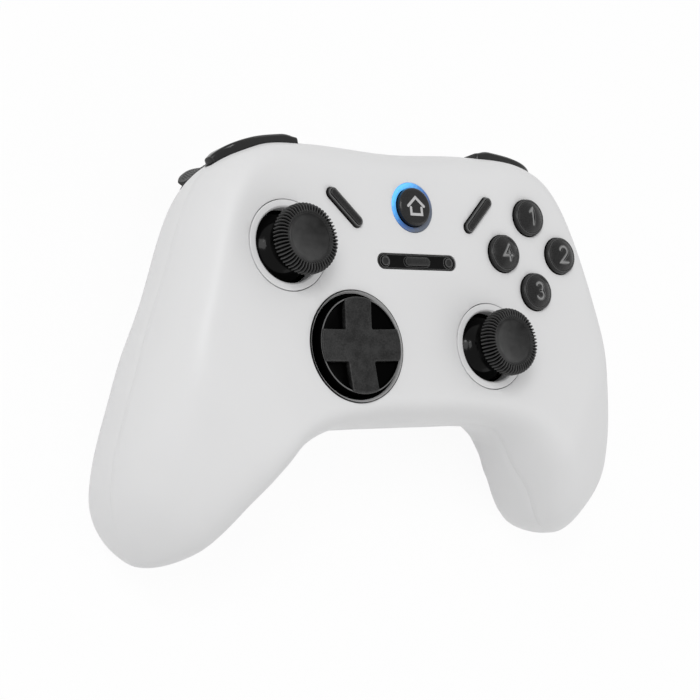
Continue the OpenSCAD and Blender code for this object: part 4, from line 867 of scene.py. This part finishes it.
def pad_plate():
    """Puck under the cross: a wall that stands out of the ring, a thin rim and quarters that sink in it. The
    pale bead on the rim is a painted highlight.
    """
    rim, under, skirt = FACE_Z + PAD_RIM_H, FACE_Z - PAD_UNDER, FACE_Z - PAD_SKIRT
    profile = rounded([
        (0.5, under), (PAD_R - 1.2, under), (PAD_R - 1.2, skirt), (PAD_R, skirt), (PAD_R, rim),
        (PAD_R - 0.45, rim), (PAD_R - 0.75, rim - 0.7), (PAD_DISH_R, rim - 1.3)],
        [0, 0.1, 0.1, 0.1, 0.2, 0.12, 0.5, 0.6], 5, closed=False)
    profile += [(r, rim - 1.9 + 0.6 * (r / PAD_DISH_R) ** 2) for r in np.linspace(9, 0.5, 10)]
    plate = revolve("pad_puck", profile, PAD_AT, 128)
    piece(plate, "pad", [], DISH)
    # Pale bead along the rim: a painted highlight where the edge catches light
    edge = rounded([
        (PAD_R - 0.38, rim - 0.12), (PAD_R - 0.04, rim - 0.12),
        (PAD_R - 0.08, rim + 0.05), (PAD_R - 0.34, rim + 0.05)], 0.05, 3)
    rim_highlight = revolve("pad_puck_rim", edge, PAD_AT, 160, closed=True)
    piece(rim_highlight, "pad", [], RIM_HIGHLIGHT)


def cross_outline():
    """Outline of the cross, whose arms end on a circle."""
    half = PAD_ARM_W / 2
    reach = math.sqrt(PAD_ARM_L ** 2 - half ** 2)
    spread = math.degrees(math.asin(half / PAD_ARM_L))
    flank = [half + (reach - half) * t for t in (0, 0.25, 0.5, 0.75)]
    arm = [(x, -half) for x in flank]
    arm += arc((0, 0), PAD_ARM_L, -spread, spread, 10)
    arm += [(x, half) for x in flank[:0:-1]]
    corners = np.concatenate([turned(np.array(arm), turn) for turn in (0, 90, 180, 270)])
    points = np.array(rounded(corners, 0.35, 3))
    keep = np.linalg.norm(points - np.roll(points, 1, axis=0), axis=1) > 1e-4
    return outline_of(points[keep])


def arm_height(x, y):
    """Height of the cross: high at the ends of the arms and hollow in the middle."""
    reach = np.hypot(x, y) / PAD_ARM_L
    return FACE_Z + PAD_ARM_H - PAD_HOLLOW * (1 - np.clip(reach, 0, 1) ** 2) ** 1.2


def pad_cross():
    points, out = cross_outline()
    sides = len(points)
    rings = [np.column_stack([points, np.full(sides, FACE_Z - PAD_UNDER)])]
    for inset, drop in ((0, 0.5), (0.04, 0.3), (0.15, 0.14), (0.3, 0.04), (0.5, 0)):
        ring = points - out * inset
        rings.append(np.column_stack([ring, arm_height(ring[:, 0], ring[:, 1]) - drop]))
    verts = np.concatenate(rings)
    faces = bridge(len(rings), sides)
    faces.append(tuple(range(sides))[::-1])
    lines = np.arange(-11, 11.1, 0.5)
    grid = [Vector((x, y)) for x in lines for y in lines
            if min(abs(x), abs(y)) < PAD_ARM_W / 2 - 0.7 and math.hypot(x, y) < PAD_ARM_L - 1]
    flat = [Vector(p) for p in rings[-1][:, :2]] + grid
    edges = [(i, (i + 1) % sides) for i in range(sides)]
    flat_verts, _, flat_faces, _, _, _ = delaunay_2d_cdt(flat, edges, [], 1, 1e-5)
    flat_verts = np.array([tuple(v) for v in flat_verts])
    top = np.column_stack([flat_verts, arm_height(flat_verts[:, 0], flat_verts[:, 1])])
    faces += [tuple(len(verts) + i for i in face) for face in flat_faces]
    verts = np.concatenate([verts, top]) + np.array([*PAD_AT, 0])
    cross = clean(mesh_object("pad_cross_arms", verts, faces), 40)
    piece(cross, "pad", ["pad_cross"], PAD)


pad_ring()
pad_plate()
pad_cross()


# Buttons, bar and their marks
def stroke(points, width):
    """Outline of a line with round ends."""
    points = np.array(points, float)
    step = unit(np.diff(points, axis=0))
    side = np.stack([-step[:, 1], step[:, 0]], 1)
    inner = np.concatenate([side[:1], (side[:-1] + side[1:]) / 2, side[-1:]])
    bend = np.linalg.norm(inner, axis=1)[:, None]
    reach = unit(inner) * width / 2 / np.maximum(bend, 0.4)
    left, right = points + reach, points - reach
    def cap(centre, start):
        base = math.atan2(start[1], start[0])
        return [centre + width / 2 * np.array([math.cos(base - a), math.sin(base - a)])
                for a in np.linspace(0, math.pi, 9)[1:-1]]
    outline = list(left) + cap(points[-1], side[-1]) + list(right[::-1]) + cap(points[0], -side[0])
    return outline_of(np.array(outline)[::-1])


NUMERALS = {
    1: [[(-0.8, 1.2), (0.25, 2.1), (0.25, -2.1)]],
    2: [arc((0, 0.95), 1.25, 165, -38, 14) + [(-1.3, -2.1), (1.4, -2.1)]],
    3: [arc((-0.1, 1.08), 1.05, 155, -75, 12) + [(-0.15, 0.0)],
        [(-0.15, 0.0)] + arc((-0.1, -1.05), 1.1, 75, -155, 12)],
    4: [[(0.55, 2.1), (-1.4, -0.75), (1.5, -0.75)], [(0.55, 0.35), (0.55, -2.1)]]}
MARK_W = 0.7
MARK_DEPTH = 0.5
BUTTON_H, BUTTON_DOME_H, BUTTON_DOME_IN = 2.6, 1.15, 0.72
SKIRT_R, SKIRT_L = 4, 8


def face_button(number, at):
    """Domed button with a groove round it, and its number inlaid."""
    top, dome_r, rim = FACE_Z + BUTTON_H, BUTTON_R - BUTTON_DOME_IN, FACE_Z + BUTTON_H - BUTTON_DOME_H
    profile = rounded([
        (SKIRT_R, FLANGE_LOW - SKIRT_L), (SKIRT_R, FLANGE_LOW), (BUTTON_R + 0.6, FLANGE_LOW),
        (BUTTON_R + 0.6, FLANGE_HIGH), (BUTTON_R, FLANGE_HIGH), (BUTTON_R, rim - 0.35),
        (BUTTON_R - 0.3, rim - 0.05), (BUTTON_R - 0.6, rim - 0.05), (BUTTON_R - 0.66, rim - 0.25),
        (dome_r, rim)],
        [0.1, 0.05, 0.1, 0.1, 0.05, 0.2, 0.15, 0.05, 0.02, 0], 4, closed=False)
    profile += [(r, top - BUTTON_DOME_H * (r / dome_r) ** 2.3) for r in np.linspace(dome_r - 0.12, 0.3, 16)]
    groove = [(-0.08, top - MARK_DEPTH), (0, top - 0.2), (0.16, top), (0.16, top + 1)]
    fill = [(-0.1, top - MARK_DEPTH - 0.05), (-0.1, top - 0.32), (-0.16, top - 0.28)]
    lines = [stroke(line, MARK_W) for line in NUMERALS[number]]
    button = revolve(f"button_{number}_cap", profile, at, 96)
    button = clean(carve(button, [loft("cutter", line, groove, at) for line in lines]))
    piece(button, f"button_{number}", [f"button_{number}"], BUTTON)
    for index, line in enumerate(lines, 1):
        mark = loft(f"button_{number}_mark_{index}", line, fill, at)
        piece(mark, f"button_{number}", [], BUTTON_MARK)


for button_number, button_at in enumerate(BUTTON_AT, 1):
    face_button(button_number, button_at)


HOUSE = {
    "roof": [(-2.5, 0.05), (0, 2.3), (2.5, 0.05)],
    "walls": [(-1.7, -0.35), (-1.7, -2.1), (1.7, -2.1), (1.7, -0.35)]}
HOME_H = 1.6
INNER_HIGH, INNER_LOW = FLANGE_LOW - 0.2, FLANGE_LOW - 1.4


def home_button():
    """Round button with a flange inside the light ring, and a plain house on it."""
    top = FACE_Z + HOME_H
    profile = rounded([
        (2, FLANGE_LOW - SKIRT_L), (2, INNER_LOW), (HOME_R + 0.9, INNER_LOW), (HOME_R + 0.9, INNER_HIGH),
        (HOME_R, INNER_HIGH), (HOME_R, top - 0.5), (HOME_R - 0.5, top - 0.1)],
        [0, 0.1, 0.1, 0.1, 0.1, 0.35, 0.3], 4, closed=False)
    profile += [(r, top - 0.1 * (r / HOME_R) ** 2) for r in np.linspace(HOME_R - 0.7, 0.3, 8)]
    button = revolve("home_button_cap", profile, HOME_AT, 96)
    piece(button, "home_button", ["home_button"], HOME)
    print_on = [(0, top - 0.2), (0, top + 0.02), (0, top + 0.03)]
    for name, line in HOUSE.items():
        mark = loft(f"home_mark_{name}", stroke(line, MARK_W), print_on, HOME_AT)
        piece(mark, "home_button", [], MARK)


def light_ring():
    bore = HOME_R + SLIDE_GAP
    profile = rounded([
        (bore, FLANGE_LOW), (bore, FACE_Z - 0.1), (LIGHT_R, FACE_Z + 0.1), (LIGHT_R, FLANGE_HIGH),
        (LIGHT_R + 0.9, FLANGE_HIGH), (LIGHT_R + 0.9, FLANGE_LOW)], 0.1)
    ring = revolve("home_light_pipe", profile, HOME_AT, 128, closed=True)
    piece(ring, "casing", ["home_light_ring"], LIGHT)


def slim_button(side):
    """Slanted slot-shaped button with a groove round its top."""
    top = FACE_Z + SLIM_H
    profile = [
        (0.8, FLANGE_LOW), (0.8, FLANGE_HIGH), (0, FLANGE_HIGH), (0, top - 0.5), (-0.06, top - 0.35),
        (-0.2, top - 0.28), (-0.38, top - 0.28), (-0.42, top - 0.55), (-0.5, top - 0.55), (-0.54, top - 0.2),
        (-0.62, top - 0.08), (-0.8, top), (-1.05, top)]
    outline, slant = capsule(SLIM_L, SLIM_W), SIDES[side] * SLIM_SLANT
    button = loft(f"{side}_slim_cap", outline, profile, SLIM_AT[side], slant)
    piece(button, f"{side}_slim_button", [f"{side}_slim_button"], BUTTON)


def bar_bezel():
    """Sunk strip with holes for the lens and for a button at each end."""
    top, step = FACE_Z - BAR_SUNK, FLANGE_LOW + 1.2
    profile = [
        (0.45, FLANGE_LOW), (0.45, step), (0, step), (0, top - 0.15), (-0.05, top - 0.05), (-0.15, top),
        (-0.3, top), (-0.36, top - 0.08), (-0.5, top - 0.1)]
    bezel = loft("bar_bezel_strip", capsule(BAR_L, BAR_W), profile, BAR_AT)
    def cutter(outline, gap, at):
        return loft("cutter", outline, [(gap, FACE_Z - HOLE_DEPTH), (gap, FACE_Z + HOLE_DEPTH)], at)
    cutters = [cutter(circle(BAR_BUTTON_R, 48), SLIDE_GAP, at) for at in BAR_ENDS.values()]
    cutters.append(cutter(capsule(LENS_L, LENS_W), SEAT_GAP, BAR_AT))
    piece(clean(carve(bezel, cutters)), "casing", ["bar_bezel"], BEZEL)


def bar_button(side):
    top = FACE_Z + BAR_BUTTON_H
    profile = [
        (0.6, INNER_LOW), (0.6, INNER_HIGH), (0, INNER_HIGH), (0, top - 0.15), (-0.05, top - 0.04),
        (-0.15, top), (-0.3, top), (-0.38, top - 0.1), (-0.55, top - 0.14), (-1.1, top - 0.16)]
    cap = loft(f"bar_{side}_cap", circle(BAR_BUTTON_R, 64), profile, BAR_ENDS[side])
    piece(cap, f"bar_{side}_button", [f"bar_{side}_button"], HOME)


def bar_lens():
    """Lens with a flange under the bezel, a rounded edge and a slight crown."""
    edge, high = LENS_EDGE, FACE_Z + LENS_H - LENS_CROWN
    profile = [(0.8, FLANGE_LOW - 1.2), (0.8, FLANGE_LOW), (0, FLANGE_LOW)]
    profile += [(-edge * (1 - math.cos(a)), high - edge + edge * math.sin(a))
                for a in np.radians(np.linspace(0, 80, 7))]
    profile += [(-edge - d, high + LENS_CROWN * k) for d, k in ((0.25, 0.5), (0.5, 0.85), (0.75, 1))]
    lens = loft("bar_lens_cover", capsule(LENS_L, LENS_W), profile, BAR_AT)
    piece(lens, "casing", ["bar_lens"], HOME)


home_button()
light_ring()
for slim_side in SIDES:
    slim_button(slim_side)
bar_bezel()
for end_side in SIDES:
    bar_button(end_side)
bar_lens()


# Bumpers and triggers
def shrunk(profile, scale):
    centre = profile.mean(0)
    return centre + (profile - centre) * scale


def spaced(points, count):
    """So many points along an open line, evenly spaced."""
    points = np.array(points, float)
    run = run_along(points)
    at = np.linspace(0, run[-1], count)
    return np.stack([np.interp(at, run, points[:, k]) for k in (0, 1)], 1)


def bumper_out(s):
    """How far a bumper stands out: little at its inner end, most before its outer end."""
    start = past(-s, -BUMPER_FULL_FROM, -BUMPER_FROM)
    swell = np.minimum(1, past(s, BUMPER_FULL_FROM, BUMPER_FLARE_FROM))
    end = past(s, BUMPER_FLARE_FROM, BUMPER_TO)
    return BUMPER_OUT * (1 - 0.9 * start ** 2) + BUMPER_FLARE * (swell ** 2 * (3 - 2 * swell) - end ** 4)


def bumper_profile(top, low, out):
    tall = top - low
    return spaced(rounded([
        (-BUMPER_IN, low), (-BUMPER_IN, top), (out - 0.5, top), (out - 0.1, top - min(0.4, 0.12 * tall)),
        (out, top - min(1.2, 0.3 * tall)), (out, low + min(3, 0.35 * tall)),
        (out - 0.4, low + min(1.2, 0.15 * tall)), (out - 1.6, low), (-BUMPER_IN + 0.3, low)],
        [0, 0.2, 0.4, 0.4, 0.5, 1.5, 0.9, 0.8, 0], 5, closed=False), 90)


def bumper_strip(side):
    """Glossy strip with rounded edges and softened ends."""
    s, step = np.linspace(BUMPER_FROM, BUMPER_TO, 60, retstep=True)
    profiles = [bumper_profile(*sizes) for sizes in zip(bumper_high(s), bumper_low(s), bumper_out(s))]
    for index, scale in enumerate((0.93, 0.975, 0.993)):
        profiles[index] = shrunk(profiles[index], scale)
        profiles[-1 - index] = shrunk(profiles[-1 - index], scale)
    crowd = np.array([0, 0.15, 0.5]) * step
    s = np.concatenate([s[0] + crowd, s[3:-3], s[-1] - crowd[::-1]])
    strip = shoulder_loft(f"{side}_bumper_strip", SIDES[side], s, profiles)
    piece(strip, f"{side}_bumper", [f"{side}_bumper"], BUMPER)


def bumper_carrier(side):
    """Boss round a bumper's pin, and the arm from it to the strip."""
    sign, (pin_x, pin_y) = SIDES[side], BUMPER_PIVOT
    low, high = BUMPER_LOW, BUMPER_LOW + BUMPER_ARM_H
    profile = rounded([
        (BUMPER_BORE_R, high), (BUMPER_BOSS_R, high), (BUMPER_BOSS_R, low), (BUMPER_BORE_R, low)], 0.3)
    boss = revolve(f"{side}_bumper_boss", profile, (sign * pin_x, pin_y), 64, closed=True)
    piece(boss, f"{side}_bumper", [], BUMPER)
    start = np.array([BUMPER_FROM])
    root_x, root_y = (outer_edge(start) - shoulder_out(start) * (BUMPER_IN - 1))[0] + (ARM_REACH, 0)
    plan = rounded([
        (pin_x + ARM_HALF, pin_y - ARM_HALF), (root_x, root_y - BUMPER_ARM_W), (root_x, root_y),
        (pin_x + ARM_HALF, pin_y + ARM_HALF)], 0.3, 3)
    arm = prism(f"{side}_bumper_arm", np.array(plan)[::sign] * (sign, 1), low, high)
    piece(arm, f"{side}_bumper", [], BUMPER)


DOT_PITCH, DOT_R, DOT_H = 0.85, 0.28, 0.13
DOT_ROW = DOT_PITCH * 0.866
DOT_FADE = 0.3


def dots(along, height):
    """Relief of staggered rows of small round dots."""
    row = np.round(height / DOT_ROW)
    shift = np.where(row % 2 > 0, DOT_PITCH / 2, 0)
    dx = along - shift - DOT_PITCH * np.round((along - shift) / DOT_PITCH)
    dz = height - row * DOT_ROW
    return DOT_H * np.clip(1 - (dx * dx + dz * dz) / DOT_R ** 2, 0, 1) ** 0.7


def trigger_front(top, toe, cut):
    """Front of a trigger from its top to below its toe: a hollow curve with a lip, drawn in by cut."""
    fall = top - toe
    return spaced(rounded([
        (-4, top), (2.2 - 2 * cut, top), (1.3 - 1.2 * cut, top - 0.2 * fall),
        (0.8 - cut, top - 0.45 * fall), (0.7 - cut, top - 0.65 * fall), (1 - cut, top - 0.85 * fall),
        (1.6 - cut, toe + 0.7), (1 - cut, toe), (-0.8 - cut / 2, toe + 0.6)],
        [0, 0.6, 6, 8, 6, 5, 0.7, 0.7, 0], 6, closed=False), 170)


def trigger_back(top, toe, cut):
    fall = top - toe
    return spaced(rounded([
        (-0.8 - cut / 2, toe + 0.6), (-2.6 - cut / 2, toe + 0.22 * fall), (-5, toe + 0.42 * fall),
        (-5.5, top - 0.4 * fall), (-4, top)], [0, 1, 1, 1, 0], 4, closed=False), 24)


def fade(distance):
    """Nought up to the edge of the dots, one inside it."""
    return np.clip(distance / DOT_FADE, 0, 1)


def trigger_pad(side):
    """Pad whose toe bends up at the inner end and rises towards the outer end, with dots on its front."""
    s = np.linspace(TRIGGER_FROM, TRIGGER_TO, 160)
    along = run_along(outer_edge(s))
    bends = past(-s, -(TRIGGER_FROM + TRIGGER_TO) / 2, -TRIGGER_FROM) ** 6
    draws = past(s, TRIGGER_RISE_FROM, TRIGGER_TO) ** 1.2
    profiles = []
    for bend, draw, run in zip(bends, draws, along):
        toe = TRIGGER_TOE + 3 * bend + TRIGGER_RISE * draw
        cut = 0.6 * bend + TRIGGER_DRAW_IN * draw
        front = trigger_front(TRIGGER_TOP, toe, cut)
        height = front[:, 1]
        dotted = fade(height - toe - 1.4) * fade(TRIGGER_TOP - 1.1 - height) * (front[:, 0] > -3)
        dotted *= fade(min(run, along[-1] - run) - 1)
        front[:, 0] += dotted * dots(run, height)
        profiles.append(np.concatenate([front[:-1], trigger_back(TRIGGER_TOP, toe, cut)[:-1]]))
    pad = shoulder_loft(f"{side}_trigger_pad", SIDES[side], s, profiles)
    piece(pad, f"{side}_trigger", [f"{side}_trigger"], TRIGGER)


DRUM_OPEN, DRUM_CLOSE, DRUM_SKIRT, DRUM_CHEEK, DRUM_BORE = 14, 128, 1.5, 2.5, 1.5


def trigger_drum(side):
    """Slice of a hollow cone behind a trigger, with a cheek at either end. It closes the casing."""
    start, end = TRIGGER_NEAR + SHOULDER_GAP, TRIGGER_FAR - SHOULDER_GAP
    inner_start, inner_end = start + DRUM_CHEEK, end - DRUM_CHEEK
    profile = np.array(rounded([
        (start, drum_radius(start)), (end, drum_radius(end)), (end, DRUM_BORE), (inner_end, DRUM_BORE),
        (inner_end, drum_radius(inner_end) - DRUM_SKIRT),
        (inner_start, drum_radius(inner_start) - DRUM_SKIRT),
        (inner_start, DRUM_BORE), (start, DRUM_BORE)], [0.3, 0.3, 0.2, 0.2, 0.3, 0.3, 0.2, 0.2], 3))
    angles = -np.radians(np.linspace(DRUM_OPEN, DRUM_CLOSE, 49))
    rings = np.array([
        np.stack([SIDES[side] * profile[:, 0], TRIGGER_PIVOT[0] + profile[:, 1] * math.cos(a),
                  TRIGGER_PIVOT[1] + profile[:, 1] * math.sin(a)], 1) for a in angles])
    slice_of_cone = mesh_object(f"{side}_trigger_drum", rings.reshape(-1, 3), capped(*rings.shape[:2]))
    piece(clean(slice_of_cone), f"{side}_trigger", [], TRIGGER)


for shoulder_side in SIDES:
    bumper_strip(shoulder_side)
    bumper_carrier(shoulder_side)
    trigger_pad(shoulder_side)
    trigger_drum(shoulder_side)


# CAD solids that show as they are
DRESS = {
    "inner_plastic": INNER, "silicone": SILICONE, "steel": STEEL, "weight_metal": WEIGHT,
    "board_green": BOARD, "battery_wrap": WRAP}


def dress():
    """Gives every CAD solid that isn't replaced the material of its slot."""
    for row in frame["record"]["subparts"]:
        node = frame["nodes"][row["node"]]
        if not node.hide_render:
            node.data.materials.clear()
            node.data.materials.append(DRESS[row["material_slot"]].material)


# Stage
AMBIENT = 0.63
FLOOR_GLOW = 0.94
FLOOR_HALF, FLOOR_Z = 1500, -0.05


def world():
    """White surroundings that light the part less than they look."""
    studio = bpy.data.worlds.new("studio")
    bpy.context.scene.world = studio
    studio.use_nodes = True
    nodes = Nodes(studio.node_tree)
    background = studio.node_tree.nodes["Background"].inputs
    background["Color"].default_value = (1, 1, 1, 1)
    level = nodes.add("ShaderNodeMapRange", {"Value": nodes.looked_at(), "To Min": AMBIENT, "To Max": 1})
    nodes.put(level.outputs["Result"], background["Strength"])


def floor():
    """White floor that glows towards the camera and takes a faint shadow."""
    corners = [(FLOOR_HALF * x, FLOOR_HALF * y, FLOOR_Z) for x, y in ((-1, -1), (1, -1), (1, 1), (-1, 1))]
    obj = mesh_object("floor", corners, [(0, 1, 2, 3)])
    shader = Shader("floor_white").set(Base_Color=grey(0.9), Roughness=0.9, Specular_IOR_Level=0)
    white = shader.add("ShaderNodeEmission").outputs[0]
    seen = shader.ranged(shader.looked_at(), 0, 1, 0, FLOOR_GLOW)
    both = shader.add("ShaderNodeMixShader", {0: seen, 1: shader.principled.outputs[0], 2: white})
    shader.put(both.outputs[0], shader.tree.nodes["Material Output"].inputs["Surface"])
    obj.data.materials.append(shader.material)


YAW, PITCH, ROLL = -36.8997, -7.1314, -5.4301
CAMERA_FAR, CAMERA_RIGHT, CAMERA_UP = 427.603, 18.349, 8.353
FOCUS_PIXELS, PHOTO_PIXELS = 1703.63, 700
SENSOR = 36


def camera_axes():
    """Right, up and back of the camera."""
    yaw, pitch, roll = (math.radians(a) for a in (YAW, PITCH, ROLL))
    back = np.array([math.sin(yaw) * math.cos(pitch), math.sin(pitch), math.cos(yaw) * math.cos(pitch)])
    right = np.cross((0, 1, 0), back)
    right /= np.linalg.norm(right)
    up = np.cross(back, right)
    return (math.cos(roll) * right + math.sin(roll) * up, math.cos(roll) * up - math.sin(roll) * right, back)


def camera():
    """Camera as it was fitted to the photo, which is square and so many pixels wide."""
    right, up, back = camera_axes()
    place = CAMERA_FAR * back - CAMERA_RIGHT * right - CAMERA_UP * up + np.array([0, 0, FACE_Z])
    lens = bpy.data.cameras.new("camera")
    lens.sensor_width = SENSOR
    lens.lens = FOCUS_PIXELS / PHOTO_PIXELS * SENSOR
    lens.clip_start = 0.01
    obj = linked("camera", lens)
    matrix = Matrix.Identity(4)
    for column, axis in enumerate((right, up, back, place * MM)):
        for row in range(3):
            matrix[row][column] = axis[row]
    obj.matrix_world = matrix
    bpy.context.scene.camera = obj


def lamp(name, toward, far, wide, power):
    """Square soft lamp that looks at the middle of the face: metres away, metres wide and watts."""
    light = bpy.data.lights.new(name, "AREA")
    light.size = wide
    light.energy = power
    obj = linked(name, light)
    aim = Vector(toward).normalized()
    obj.location = aim * far + Vector((0, 0, FACE_Z * MM))
    obj.rotation_euler = aim.to_track_quat("Z", "Y").to_euler()


dress()
world()
floor()
camera()
lamp("key", (-0.55, 0.25, 0.75), 1.3, 0.5, 5)
lamp("spark", (-0.45, 0.4, 0.75), 0.9, 0.06, 0.4)
lamp("fill", (0.6, -0.45, 0.5), 1.0, 0.8, 1.4)
bpy.context.scene.view_settings.view_transform = "Standard"
